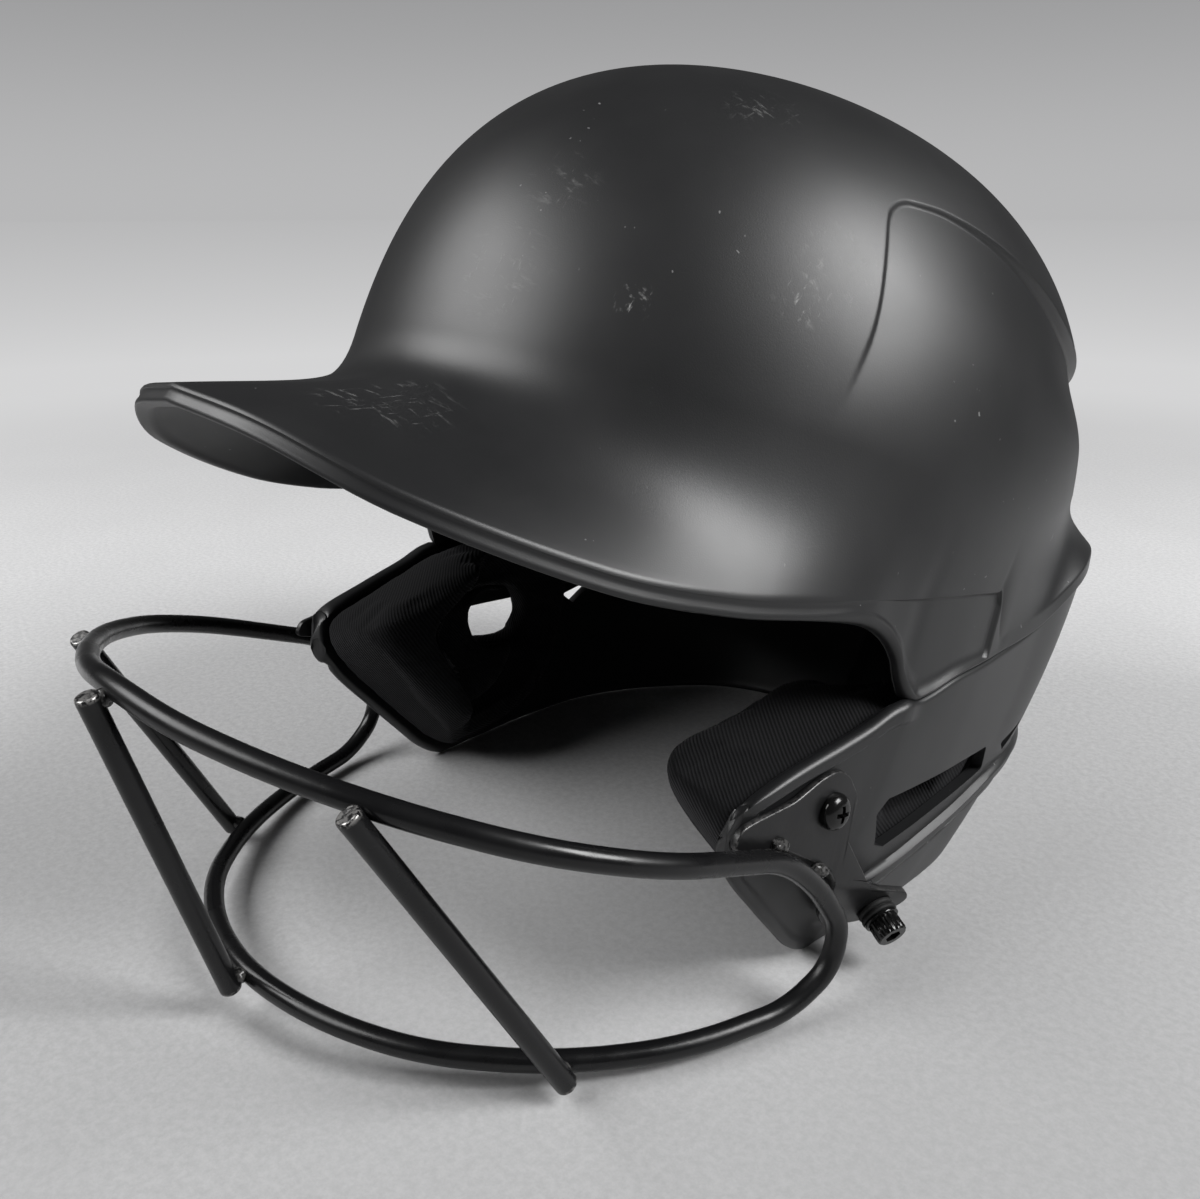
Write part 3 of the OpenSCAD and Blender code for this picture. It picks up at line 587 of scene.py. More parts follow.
def prism(name, ring, low_x, high_x):
    """A prism along X round the points (y, z) of a ring."""
    m = len(ring)
    points = [[x, r[0], r[1]] for x in (low_x, high_x) for r in ring]
    faces = [[i, (i + 1) % m, m + (i + 1) % m, m + i] for i in range(m)]
    faces += [list(range(m))[::-1], list(range(m, 2 * m))]
    return solid(name, points, faces)


def side_cutter(name, corners, radius):
    """A prism through the flap round the corners (y, z), with rounded edges."""
    ring = []
    n = len(corners)
    pts = [np.array(c, float) for c in corners]
    area = sum(pts[i][0] * pts[(i + 1) % n][1] - pts[(i + 1) % n][0] * pts[i][1] for i in range(n))
    if area < 0:
        pts = pts[::-1]
    for i, p in enumerate(pts):
        a, b = unit(p - pts[i - 1]), unit(pts[(i + 1) % n] - p)
        start, end = math.atan2(-a[0], a[1]), math.atan2(-b[0], b[1])
        if end < start:
            end += 2 * math.pi
        for w in np.linspace(start, end, 6):
            ring.append(p + radius * np.array([math.cos(w), math.sin(w)]))
    return prism(name, ring, 82.0, 114.0)


def apply_modifiers(ob):
    """Bakes the modifiers into the mesh."""
    bpy.context.view_layer.update()
    dg = bpy.context.evaluated_depsgraph_get()
    mesh = bpy.data.meshes.new_from_object(ob.evaluated_get(dg))
    old, name = ob.data, ob.data.name
    ob.modifiers.clear()
    ob.data = mesh
    bpy.data.meshes.remove(old)
    mesh.name = name


def cut(ob, cutter, sign=1):
    """Takes the cutter, or its mirror image, out of the object."""
    cutter.scale = (sign, 1, 1)
    modifier = ob.modifiers.new("cut", "BOOLEAN")
    modifier.operation = "DIFFERENCE"
    modifier.solver = "EXACT"
    modifier.object = cutter
    apply_modifiers(ob)


# Frames of the plate and of its two fasteners, as 4x4 matrices in millimetres
plate_pivot_y = -40.0
tab_top_z = -91.0
screw_yz = (-43.0, -72.0)
bolt_y = -5.0
bolt_down = 8.0


def at_panel():
    inner_x = side_wire_x - wire_d / 2 - plate_t
    turn = Matrix.Rotation(math.radians(-plate_yaw), 4, "Z")
    return Matrix.Translation((inner_x, plate_pivot_y, 0)) @ turn @ Matrix.Translation((0, -plate_pivot_y, 0))


def at_tab():
    tilt = Matrix.Rotation(math.radians(tab_tilt), 4, "Y")
    return at_panel() @ Matrix.Translation((0, 0, tab_top_z)) @ tilt


def at_screw():
    place = Matrix.Translation((plate_t, *screw_yz))
    return at_panel() @ place @ Matrix.Rotation(math.radians(90), 4, "Y")


def at_bolt():
    place = Matrix.Translation((plate_t, bolt_y, -bolt_down))
    return at_tab() @ place @ Matrix.Rotation(math.radians(90), 4, "Y")


def placed(points, matrix):
    """Points moved by a 4x4 matrix."""
    m = np.array(matrix)
    return np.asarray(points, float) @ m[:3, :3].T + m[:3, 3]


def ring_points(d, z, count):
    w = np.linspace(0, 2 * math.pi, count, endpoint=False)
    return vec(d / 2 * np.cos(w), d / 2 * np.sin(w), z)


def lathe(name, profile, matrix, material, sides, bored=False):
    """A turned piece of the profile's (diameter, height), closed over its ends or along its bore."""
    points = placed(np.concatenate([ring_points(d, z, sides) for d, z in profile]), matrix)
    rings = len(profile)
    if not bored:
        return solid(name, points, covered_faces(rings, sides), material)
    last = (rings - 1) * sides
    bore = [[last + j, last + (j + 1) % sides, (j + 1) % sides, j] for j in range(sides)]
    return solid(name, points, tube_faces(rings, sides) + bore, material)


def hole_cutter(name, matrix):
    return lathe(name, [(hole_d, -14), (hole_d, 6)], matrix, None, 32)


# Materials
def new_material(name):
    material = bpy.data.materials.new(name)
    material.use_nodes = True
    tree = material.node_tree
    return material, tree, tree.nodes["Principled BSDF"]


def feed(tree, socket, value):
    """Links an output to the socket, or sets the socket to a number, a colour or a vector."""
    if isinstance(value, bpy.types.NodeSocket):
        tree.links.new(value, socket)
    elif socket.type == "RGBA":
        socket.default_value = (*value, 1)
    else:
        socket.default_value = value


def add_node(tree, kind, inputs=None, **settings):
    """A shader node with its settings, and its inputs fed by name or by number."""
    node = tree.nodes.new("ShaderNode" + kind)
    for key, value in settings.items():
        setattr(node, key, value)
    for key, value in (inputs or {}).items():
        feed(tree, node.inputs[key], value)
    return node


def coordinates(tree):
    return add_node(tree, "TexCoord").outputs["Object"]


def noise(tree, scale, detail=4.0, roughness=0.55, source=None):
    inputs = {"Scale": scale, "Detail": detail, "Roughness": roughness, "Vector": source or coordinates(tree)}
    return add_node(tree, "TexNoise", inputs).outputs["Fac"]


def ramp(tree, value, low, high, out_low=0.0, out_high=1.0):
    """Maps a range smoothly to another one, clamped."""
    inputs = {"From Min": low, "From Max": high, "To Min": out_low, "To Max": out_high, "Value": value}
    return add_node(tree, "MapRange", inputs, interpolation_type="SMOOTHSTEP").outputs["Result"]


def math_node(tree, operation, a, b):
    return add_node(tree, "Math", {0: a, 1: b}, operation=operation).outputs[0]


def mix_color(tree, factor, a, b):
    return add_node(tree, "Mix", {0: factor, 6: a, 7: b}, data_type="RGBA").outputs[2]


def add_bump(tree, bsdf, height, strength, distance, before=None):
    inputs = {"Strength": strength, "Distance": distance, "Height": height}
    if before:
        inputs["Normal"] = before
    bumped = add_node(tree, "Bump", inputs).outputs["Normal"]
    feed(tree, bsdf.inputs["Normal"], bumped)
    return bumped


def patch(tree, centre, radius):
    """1 at a place on the object and 0 past a radius round it, both in metres."""
    node = add_node(tree, "VectorMath", {0: coordinates(tree), 1: centre}, operation="DISTANCE")
    return ramp(tree, node.outputs["Value"], radius * 0.25, radius, 1.0, 0.0)


def stretched(tree, scale, turn):
    """Object coordinates turned and scaled by axis, for streaks and ribs."""
    inputs = {"Scale": scale, "Rotation": turn, "Vector": coordinates(tree)}
    return add_node(tree, "Mapping", inputs).outputs["Vector"]


def set_base(bsdf, color, roughness, **more):
    bsdf.inputs["Base Color"].default_value = (*color, 1)
    bsdf.inputs["Roughness"].default_value = roughness
    for key, value in more.items():
        bsdf.inputs[key.replace("_", " ")].default_value = value


def shell_material(scuffs):
    """Matte charcoal plastic with a fine grain, dust, specks and rubbed places."""
    material, tree, bsdf = new_material("shell_plastic_look")
    set_base(bsdf, (0.013, 0.013, 0.014), 0.43, Specular_IOR_Level=0.62)
    cloudy = noise(tree, 28, 5)
    color = mix_color(tree, ramp(tree, cloudy, 0.35, 0.7), (0.011, 0.0112, 0.012), (0.015, 0.0152, 0.016))
    specks = ramp(tree, noise(tree, 620, 1.5, 0.4), 0.765, 0.80)
    rare = ramp(tree, noise(tree, 34, 2), 0.50, 0.62)
    speck_mask = math_node(tree, "MULTIPLY", specks, rare)
    drawn = stretched(tree, (95, 520, 300), (0.4, 0.3, 0.8))
    thin = stretched(tree, (900, 90, 240), (0.2, 0.9, 0.5))
    streaks = ramp(tree, noise(tree, 1.0, 7, 0.66, drawn), 0.55, 0.72)
    fine = ramp(tree, noise(tree, 1.0, 6, 0.7, thin), 0.6, 0.7)
    marks = math_node(tree, "MAXIMUM", streaks, fine)
    rubbed = None
    for centre, radius, amount in scuffs:
        here = math_node(tree, "MULTIPLY", patch(tree, centre, radius), amount)
        rubbed = here if rubbed is None else math_node(tree, "MAXIMUM", rubbed, here)
    rubbed = math_node(tree, "MULTIPLY", rubbed, marks)
    color = mix_color(tree, math_node(tree, "MULTIPLY", speck_mask, 0.5), color, (0.32, 0.32, 0.32))
    color = mix_color(tree, rubbed, color, (0.30, 0.30, 0.296))
    tree.links.new(color, bsdf.inputs["Base Color"])
    smudge = ramp(tree, noise(tree, 12, 4, 0.6), 0.3, 0.75, 0.40, 0.47)
    smudge = math_node(tree, "ADD", smudge, math_node(tree, "MULTIPLY", rubbed, 0.2))
    tree.links.new(smudge, bsdf.inputs["Roughness"])
    add_bump(tree, bsdf, noise(tree, 2600, 2), 0.10, 0.0002)
    return material


wave_per_pitch = 0.314159


def fabric_material(name, color, rib_pitch, turn):
    """Ribbed knit: fine ridges with a fuzzy surface, with painted light on the ridges' crests and painted
    shade in the valleys between them.
    """
    material, tree, bsdf = new_material(name)
    set_base(bsdf, color, 0.92, Specular_IOR_Level=0.2, Sheen_Weight=0.12, Sheen_Roughness=0.5)
    bsdf.inputs["Sheen Tint"].default_value = (0.35, 0.35, 0.37, 1)
    inputs = {"Scale": wave_per_pitch / rib_pitch, "Distortion": 0.4, "Detail": 2, "Detail Scale": 3,
              "Vector": stretched(tree, (1, 1, 1), turn)}
    ribs = add_node(tree, "TexWave", inputs, wave_profile="SIN").outputs["Fac"]
    # Painted light and shade: the ribs' colour runs from the base colour in the valleys to 3.6 times as
    # bright on the crests, as if light fell on the ridges.
    light = tuple(c * 3.6 for c in color)
    fuzz = noise(tree, 3200, 3)
    shade = mix_color(tree, ramp(tree, ribs, 0.2, 0.95), color, light)
    tree.links.new(mix_color(tree, ramp(tree, fuzz, 0.45, 0.8, 0, 0.4), shade, tuple(c * 4 for c in color)),
                   bsdf.inputs["Base Color"])
    first = add_bump(tree, bsdf, ribs, 0.55, 0.0004)
    add_bump(tree, bsdf, fuzz, 0.35, 0.0002, first)
    return material


def coated_material(name, color, roughness, wear=True):
    """Satin black coating on steel, worn to a grey shine where the wear attribute says."""
    material, tree, bsdf = new_material(name)
    set_base(bsdf, color, roughness, Specular_IOR_Level=0.42)
    ripple = noise(tree, 420, 3)
    if wear:
        attribute = add_node(tree, "Attribute", attribute_name="wear")
        chips = ramp(tree, noise(tree, 900, 4, 0.65), 0.44, 0.56)
        worn = math_node(tree, "MULTIPLY", attribute.outputs["Fac"], chips)
        tree.links.new(mix_color(tree, worn, color, (0.42, 0.41, 0.40)), bsdf.inputs["Base Color"])
        tree.links.new(math_node(tree, "MULTIPLY", worn, 0.7), bsdf.inputs["Metallic"])
    tree.links.new(ramp(tree, noise(tree, 60, 4), 0.3, 0.7, roughness - 0.06, roughness + 0.08),
                   bsdf.inputs["Roughness"])
    add_bump(tree, bsdf, ripple, 0.12, 0.0003)
    return material


def plain_material(name, color, roughness, grain, metallic=0.0):
    """A finish with slight cloudiness and a fine grain."""
    material, tree, bsdf = new_material(name)
    set_base(bsdf, color, roughness, Metallic=metallic)
    cloudy = ramp(tree, noise(tree, 90, 4), 0.3, 0.7)
    tree.links.new(mix_color(tree, cloudy, tuple(c * 0.8 for c in color), tuple(c * 1.25 for c in color)),
                   bsdf.inputs["Base Color"])
    add_bump(tree, bsdf, noise(tree, grain, 3), 0.3, 0.0002)
    return material


def place_on_dome(u, z):
    """A point on the resting dome, in metres."""
    return tuple(rest(dome_at(np.array(float(u)), latitude(np.array(float(z))))))


SCUFFS = [
    ((u, z), radius, amount) for u, z, radius, amount in [
        (12, 30, 0.016, 0.5), (30, 30, 0.006, 0.9), (52, 52, 0.014, 0.5), (49, 42, 0.009, 0.9),
        (36, 88, 0.012, 0.35), (15, 55, 0.012, 0.3)
    ]
]
brim_scuff = ((22.0, -146.0, -8.0), 0.02, 0.6)
shell_scuffs = [(place_on_dome(*at), radius, amount) for at, radius, amount in SCUFFS]
shell_scuffs.append((tuple(rest(np.array(brim_scuff[0]))), brim_scuff[1], brim_scuff[2]))

shell_look = shell_material(shell_scuffs)
fabric_look = fabric_material("pad_fabric_look", (0.0025, 0.0025, 0.0028), 0.0009, (0, 0.67, -0.656))
jersey_look = fabric_material("jersey_look", (0.0022, 0.0022, 0.0025), 0.0006, (0, 0.67, -0.656))
coating_look = coated_material("guard_coating_look", (0.006, 0.006, 0.0065), 0.27)
plate_look = coated_material("plate_coating_look", (0.009, 0.009, 0.0095), 0.36)
bead_look = coated_material("weld_bead_look", (0.014, 0.014, 0.014), 0.24)
gloss_look = coated_material("gloss_black_look", (0.006, 0.006, 0.006), 0.16, wear=False)
zinc_look = plain_material("zinc_look", (0.42, 0.43, 0.45), 0.35, 1200, metallic=1.0)
rubber_look = plain_material("rubber_look", (0.008, 0.008, 0.008), 0.7, 1800)
foam_look = plain_material("liner_foam_look", (0.009, 0.009, 0.01), 0.85, 700)


def dress(node, material):
    """Gives a CAD node its finish."""
    mesh = nodes[node].data
    mesh.materials.clear()
    mesh.materials.append(material)


def seat(ob, node):
    """The piece rides on the helmet and stands for the node, which it hides."""
    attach(ob, "root")
    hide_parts(node)
    return ob


def mirror_copy(ob, name):
    """A copy of the object on the other side of the helmet."""
    mesh = ob.data.copy()
    mesh.name = name
    mesh.transform(Matrix.Scale(-1, 4, (1, 0, 0)))
    mesh.flip_normals()
    return linked(name, mesh)


# Padding
liner_inset = upper_wall + glue_gap + scallop_back_depth
liner_foot = 6.0
liner_slack = 0.5
pad_step = 1.8
pad_sides = 112


def build_liner(material):
    """The foam bowl between shell and pads, with a rounded foot."""
    u = np.linspace(0, 360, 96, endpoint=False)
    foot = float(latitude(np.array(liner_foot)))
    rows = [dome_at(u, 89 * (1 - t) + foot * t, liner_inset) for t in np.linspace(0.02, 1, 30)]
    low_out, low_in = rows[-1], dome_at(u, foot + 1, liner_inset + liner_wall)
    middle = (low_out + low_in) / 2 - up(np.full(u.shape, 4.0))
    rows += [bezier([low_out, (low_out + middle) / 2, (low_in + middle) / 2, low_in], t)
             for t in (0.25, 0.5, 0.75)]
    rows += [dome_at(u, 89 * t + (foot + 1) * (1 - t), liner_inset + liner_wall)
             for t in np.linspace(0, 0.98, 30)]
    points = np.stack(rows, 1)
    columns, count = points.shape[:2]
    faces = grid_faces(columns, count)
    faces.append([i * count for i in range(columns)])
    faces.append([(i + 1) * count - 1 for i in range(columns)][::-1])
    return solid("liner_bowl", points, faces, material)


PAD_PROFILE = [
    [0, 0.5, 0], [1, 0.93, 0], [2, 0.985, 0.18], [3, 1, 0.42], [4, 0.97, 0.66], [5, 0.9, 0.84],
    [6, 0.76, 0.94], [7, 0.45, 0.99]
]
JAW_PROFILE = [
    [0, 0.5, 0], [1, 0.93, 0], [2, 0.985, 0.18], [3, 1, 0.42], [4, 0.98, 0.66], [4.7, 0.92, 0.86],
    [5.3, 0.8, 0.97], [6, 0.6, 1], [7, 0.22, 1]
]


def cushion(name, centre, half, square, thickness, face, inward, profile=PAD_PROFILE):
    """A crowned cushion on a face: rings from the glued side over the edge to the crown."""
    w = np.linspace(0, 2 * math.pi, pad_sides, endpoint=False)
    c, s = np.cos(w), np.sin(w)
    k = (np.abs(c) ** square + np.abs(s) ** square) ** (-1 / square)
    steps = np.concatenate([[0, 0.5], np.linspace(1, 7, 31)])
    rings = []
    for scale, lift in curve(profile, steps):
        a = centre[0] + half[0] * c * k * scale
        b = centre[1] + half[1] * s * k * scale
        rings.append(face(a, b) + inward(a, b) * (glue_gap + thickness(a, b) * lift)[..., None])
    a, b = np.array([centre[0]], float), np.array([centre[1]], float)
    low = face(a, b) + inward(a, b) * glue_gap
    high = face(a, b) + inward(a, b) * (glue_gap + thickness(a, b))[..., None]
    points = np.concatenate([np.concatenate(rings), low, high])
    n, m = pad_sides, len(rings)
    faces = tube_faces(m, n)
    faces += [[n * m, (i + 1) % n, i] for i in range(n)]
    faces += [[n * m + 1, (m - 1) * n + i, (m - 1) * n + (i + 1) % n] for i in range(n)]
    return solid(name, points, faces)


def liner_face(u, v):
    return dome_at(u, v, liner_inset + liner_wall + liner_slack)


def dome_pad(name, centre, half):
    """A pad on the liner, at an angle round the dome and a latitude."""
    def face(u, down):
        return liner_face(u, -down)
    return cushion(name, (centre[0], -centre[1]), half, 4, lambda a, b: comfort_pad + 0 * a,
                   face, lambda a, b: -unit(face(a, b)))


def crown_pad(name):
    def face(a, b):
        return liner_face(np.degrees(np.arctan2(a, b)), 90 - np.minimum(np.hypot(a, b), 60))
    return cushion(name, (0, 0.01), (26, 30), 2.6, lambda a, b: comfort_pad + 0 * a,
                   face, lambda a, b: -unit(face(a, b)))


def flap_face(u, t):
    return body_at(u, t) - body_normal(u, t) * lower_wall


def jaw_inward(u, t):
    """The flap's inward direction a little way in from its edges."""
    return -body_normal(np.maximum(u, 64), 0.25 + 0.5 * t)


ear_centre = (82.0, 0.52)
hollow_centre = (87.0, 0.49)
hollow = (19.5, 0.41)


def jaw_thickness(u, t):
    """A thick rim round the flap's front, with a hollow for the ear."""
    a, b = (u - hollow_centre[0]) / hollow[0], (t - hollow_centre[1]) / hollow[1]
    r = np.sqrt(a**2 + b**2)
    back, deep = ease((u - 74) / 14), ease((1.05 - r) / 0.3)
    thick = jaw_pad_front * (1 - back) + jaw_pad_back * back
    return thick * (1 - deep) + jaw_pad_ear * deep


EAR_HOLE = [[-5, -63], [8, -60]]
ear_hole_r = 10.0


def stadium_cutter(name, ends, radius):
    """A prism along X round two centres (y, z)."""
    (y0, z0), (y1, z1) = ends
    turn = math.atan2(z1 - z0, y1 - y0)
    first = np.linspace(turn + math.pi / 2, turn + 1.5 * math.pi, 24)
    last = np.linspace(turn - math.pi / 2, turn + math.pi / 2, 24)
    ring = [[y0 + radius * math.cos(w), z0 + radius * math.sin(w)] for w in first]
    ring += [[y1 + radius * math.cos(w), z1 + radius * math.sin(w)] for w in last]
    return prism(name, ring, 50.0, 116.0)


CLOTH = {
    "vertex_group_mass": "glued", "quality": 4, "mass": 0.3, "use_pressure": True,
    "uniform_pressure_force": 4.0, "tension_stiffness": 12, "compression_stiffness": 9,
    "bending_stiffness": 0.4
}
cloth_scale = 10.0


def inflate(ob, swell, frames):
    """Fills the pad by pressure as cloth, with its glued side held, by no more than the swell."""
    start = np.array([v.co for v in ob.data.vertices])
    held = toward_shell(start, np.array([v.normal for v in ob.data.vertices]))
    group = ob.vertex_groups.new(name="glued")
    group.add([int(i) for i in np.nonzero(held)[0]], 1.0, "REPLACE")
    ob.data.transform(Matrix.Scale(cloth_scale, 4))
    cloth = ob.modifiers.new("cloth", "CLOTH")
    for key, value in CLOTH.items():
        setattr(cloth.settings, key, value)
    cloth.settings.effector_weights.gravity = 0.0
    cloth.point_cache.frame_start = 1
    cloth.point_cache.frame_end = frames
    for step in range(1, frames + 1):
        bpy.context.scene.frame_set(step)
    apply_modifiers(ob)
    bpy.context.scene.frame_set(1)
    ob.data.transform(Matrix.Scale(1 / cloth_scale, 4))
    move = np.array([v.co for v in ob.data.vertices]) - start
    reach = np.linalg.norm(move, axis=1, keepdims=True)
    end = start + move * np.minimum(1, swell / np.maximum(reach, 1e-9))
    ob.data.vertices.foreach_set("co", end.ravel())
    ob.data.update()


def puff(ob, voxel, swell, frames):
    """Makes the pad soft: an even mesh, smoothed, filled by pressure and subdivided."""
    remesh = ob.modifiers.new("remesh", "REMESH")
    remesh.mode = "VOXEL"
    remesh.voxel_size = voxel
    smooth = ob.modifiers.new("smooth", "SMOOTH")
    smooth.factor = 0.5
    smooth.iterations = 8
    apply_modifiers(ob)
    inflate(ob, swell, frames)
    finer = ob.modifiers.new("finer", "SUBSURF")
    finer.levels = 1
    finer.render_levels = 1
    apply_modifiers(ob)
    ob.data.shade_smooth()
    return ob


def toward_shell(start, normals):
    """Marks the points of a pad whose surface faces away from the head's middle."""
    middle = rest(np.array([0.0, 0.0, -20.0]))
    away = start - middle
    away /= np.linalg.norm(away, axis=1, keepdims=True)
    return (away * normals).sum(1) > 0.45


def build_jaw_pad():
    """The left jaw pad, as tall as the flap, with the hole over the ear."""
    ob = cushion("jaw_cushion_left", (83, 0.5), (24.8, 0.47), 3.6, jaw_thickness, flap_face, jaw_inward,
                 profile=JAW_PROFILE)
    cut(ob, stadium_cutter("ear_cutter", EAR_HOLE, ear_hole_r))
    return puff(ob, voxel=0.0016, swell=0.0016, frames=12)


def build_ear_pad():
    """The raised pad round the left ear, on the jaw pad."""
    def face(u, t):
        return flap_face(u, t) + jaw_inward(u, t) * (jaw_thickness(u, t) + pad_step)[..., None]
    ob = cushion("ear_cushion_left", ear_centre, (13.5, 0.27), 3, lambda a, b: ear_pad + 0 * a,
                 face, jaw_inward)
    cutter = bpy.data.objects["ear_cutter"]
    cut(ob, cutter)
    bpy.data.objects.remove(cutter)
    return puff(ob, voxel=0.0013, swell=0.0012, frames=12)


# Guard
def on_plate(y):
    return side_wire_x + (y - plate_pivot_y) * math.tan(math.radians(plate_yaw))


GUARD_HALF = [
    [0, -179, -84.4], [22, -175, -86.2], [46, -165.4, -87], [70, -151, -87],
    [91, -130, -86.5], [101.4, -104, -85.6], [on_plate(-61), -61, -84.4],
    [on_plate(-45), -45, -90], [side_wire_x + 0.6, -29.5, -100.5], [side_wire_x + 0.4, -27.5, -112.5],
    [100.5, -36, -124.5], [91.5, -62, -136], [75, -87.6, -145], [52, -108.6, -151.6],
    [27, -120, -154.6], [0, -124.4, -155.6]
]
STRUT_CENTER = [[0, -178.7, -84.7], [0, -123.7, -155.5], [0, -1, 0]]
STRUT_SIDE = [[62.2, -156.1, -87], [76, -86, -144.4], [0.68, -0.72, -0.12]]


def rounded_path(corners, steps):
    """Points of a closed wire whose corners are arcs between straight pieces."""
    n = len(corners)
    p = np.array(corners, float)
    gaps = np.linalg.norm(np.roll(p, -1, 0) - p, axis=1)
    path = []
    for i in range(n):
        a, b = unit(p[i] - p[i - 1]), unit(p[(i + 1) % n] - p[i])
        reach = 0.47 * min(gaps[i - 1], gaps[i])
        turn = math.acos(min(1.0, float(a @ b)))
        radius = reach / math.tan(turn / 2)
        inward = unit(b - a * (a @ b))
        start = p[i] - a * reach
        middle = start + inward * radius
        for w in np.linspace(0, turn, steps):
            path.append(middle - inward * radius * math.cos(w) + a * radius * math.sin(w))
    return np.array(path)


wire_sides = 28


def tube(name, path, d, material, closed):
    """A round wire along a path, with its ends covered when it is open."""
    n = len(path)
    ahead = np.roll(path, -1, 0) - np.roll(path, 1, 0)
    if not closed:
        ahead[0], ahead[-1] = path[1] - path[0], path[-1] - path[-2]
    ahead = unit(ahead)
    normal = unit(np.cross(ahead[0], [0.0, 0.0, 1.0]))
    w = np.linspace(0, 2 * math.pi, wire_sides, endpoint=False)[:, None]
    rings = []
    for i in range(n):
        normal = unit(normal - ahead[i] * (normal @ ahead[i]))
        side = np.cross(ahead[i], normal)
        rings.append(path[i] + d[i] / 2 * (np.cos(w) * normal + np.sin(w) * side))
    faces = tube_faces(n, wire_sides) if closed else covered_faces(n, wire_sides)
    if closed:
        shift, last = _twist(rings[0], rings[-1]), (n - 1) * wire_sides
        for j in range(wire_sides):
            k = (j + 1) % wire_sides
            faces.append([last + (j + shift) % wire_sides, j, k, last + (k + shift) % wire_sides])
    return solid(name, np.concatenate(rings), faces, material)


def _twist(first, last):
    """How many sides the last ring is turned against the first."""
    gaps = [np.linalg.norm(first - np.roll(last, -k, 0), axis=1).sum() for k in range(len(first))]
    return int(np.argmin(gaps))


def set_wear(mesh, values):
    attribute = mesh.attributes.new("wear", "FLOAT", "POINT")
    attribute.data.foreach_set("value", np.asarray(values, float))


def strut_path(s):
    """Points of a strut with rounded ends, their diameters, and how worn each is."""
    s = np.array(s, float)
    along = unit(s[1] - s[0])
    out = unit(s[2] - along * (along @ s[2]))
    start = s[0] + out * wire_d - along * strut_end
    end = s[1] + out * wire_d + along * strut_end
    length = np.linalg.norm(end - start)
    near = [(0.0, 0.7, 0.4), (0.0, 0.86, 1.0), (0.12, 0.93, 1.0), (0.35, 0.98, 0.9), (0.7, 1.0, 0.3),
            (1.3, 1.0, 0)]
    stops = [(a, b * wire_d, c) for a, b, c in near]
    stops += [(length * k / 6, wire_d, 0) for k in range(1, 6)]
    stops += [(length - a, b * wire_d, c) for a, b, c in near[::-1]]
    path = np.array([start + along * (a + i * 1e-4) for i, (a, b, c) in enumerate(stops)])
    return path, [b for a, b, c in stops], [c for a, b, c in stops]


def build_strut(name, s, material):
    path, d, worn = strut_path(s)
    ob = tube(name, path, d, material, False)
    set_wear(ob.data, np.repeat(worn, wire_sides))
    return ob


def weld_bead(name, at, size, seed, material, smear):
    """An uneven drop of weld metal."""
    rng = np.random.default_rng(seed)
    bm = bmesh.new()
    bmesh.ops.create_icosphere(bm, subdivisions=4, radius=1.0)
    waves = rng.normal(size=(7, 3)) * 2.2
    phases = rng.uniform(0, 6.28, 7)
    for v in bm.verts:
        p = np.array(v.co)
        swell = 1 + 0.035 * float(np.sin(waves @ p * 1.6 + phases).sum())
        v.co = Vector(np.array(at) + p * swell * size / 2 * np.array(smear))
    mesh = bpy.data.meshes.new(name)
    bm.to_mesh(mesh)
    bm.free()
    co = np.array([v.co for v in mesh.vertices])
    mesh.vertices.foreach_set("co", rest(co).ravel())
    mesh.update()
    set_wear(mesh, np.full(len(mesh.vertices), 0.15))
    return add_object(name, mesh, material)


def joined(name, parts):
    """One object of several, with their finishes kept."""
    for ob in bpy.context.selected_objects:
        ob.select_set(False)
    for ob in parts:
        ob.select_set(True)
    bpy.context.view_layer.objects.active = parts[0]
    with bpy.context.temp_override(active_object=parts[0], selected_editable_objects=parts):
        bpy.ops.object.join()
    parts[0].name = name
    parts[0].data.name = name
    parts[0].select_set(False)
    return parts[0]


bead_d = 4.2
bead_back = 1.6
PLATE_BEADS = [[-60, -81.6], [-42, -87.2]]


def strut_bead_place(s, end):
    s = np.array(s, float)
    along = unit(s[1] - s[0])
    out = unit(s[2] - along * (along @ s[2]))
    return s[end] + out * wire_d / 2 + along * (1 if end == 0 else -1) * bead_back


def build_welds(material):
    """Every weld bead: where the struts cross the hoops, and along both plates."""
    places = [strut_bead_place(STRUT_CENTER, e) for e in (0, 1)]
    for e in (0, 1):
        at = strut_bead_place(STRUT_SIDE, e)
        places += [at, at * flip]
    beads = [weld_bead(f"bead_{i}", at, bead_d, 40 + i, material, (1.25, 1, 1))
             for i, at in enumerate(places)]
    for i, (y, z) in enumerate(PLATE_BEADS):
        at = np.array([on_plate(y) - wire_d / 2 + 0.6, y, z])
        for side in (1, -1):
            place, bead_name = at * np.array([side, 1, 1]), f"plate_bead_{i}_{side + 1}"
            beads.append(weld_bead(bead_name, place, bead_d, 60 + i, material, (0.9, 1.5, 0.9)))
    return joined("weld_drops", beads)


# Side plates
PLATE = [
    [-75, -84], [-74.5, -79], [-70, -76.5], [-58, -71], [-50, -64.5], [-45, -62], [-40, -62.6],
    [-33.5, -68], [-33, -79], [-17, -91], [3, -92], [7, -95], [5, -99], [-5, -105], [-19, -107.5],
    [-26, -103], [-32, -91], [-37, -87], [-58, -82.5]
]
plate_bend_r = 2.6
upper_wear = 0.16
tab_wear = 0.08


def rounded_outline(corners, radius, steps=7):
    """The outline with each corner rounded by as much as its sides allow."""
    p = np.array(corners, float)
    n = len(p)
    out = []
    for i in range(n):
        a, b = p[i - 1], p[(i + 1) % n]
        r = min(radius, 0.45 * np.linalg.norm(a - p[i]), 0.45 * np.linalg.norm(b - p[i]))
        out += rounded(a, p[i], b, r, steps)
    return np.array(out)


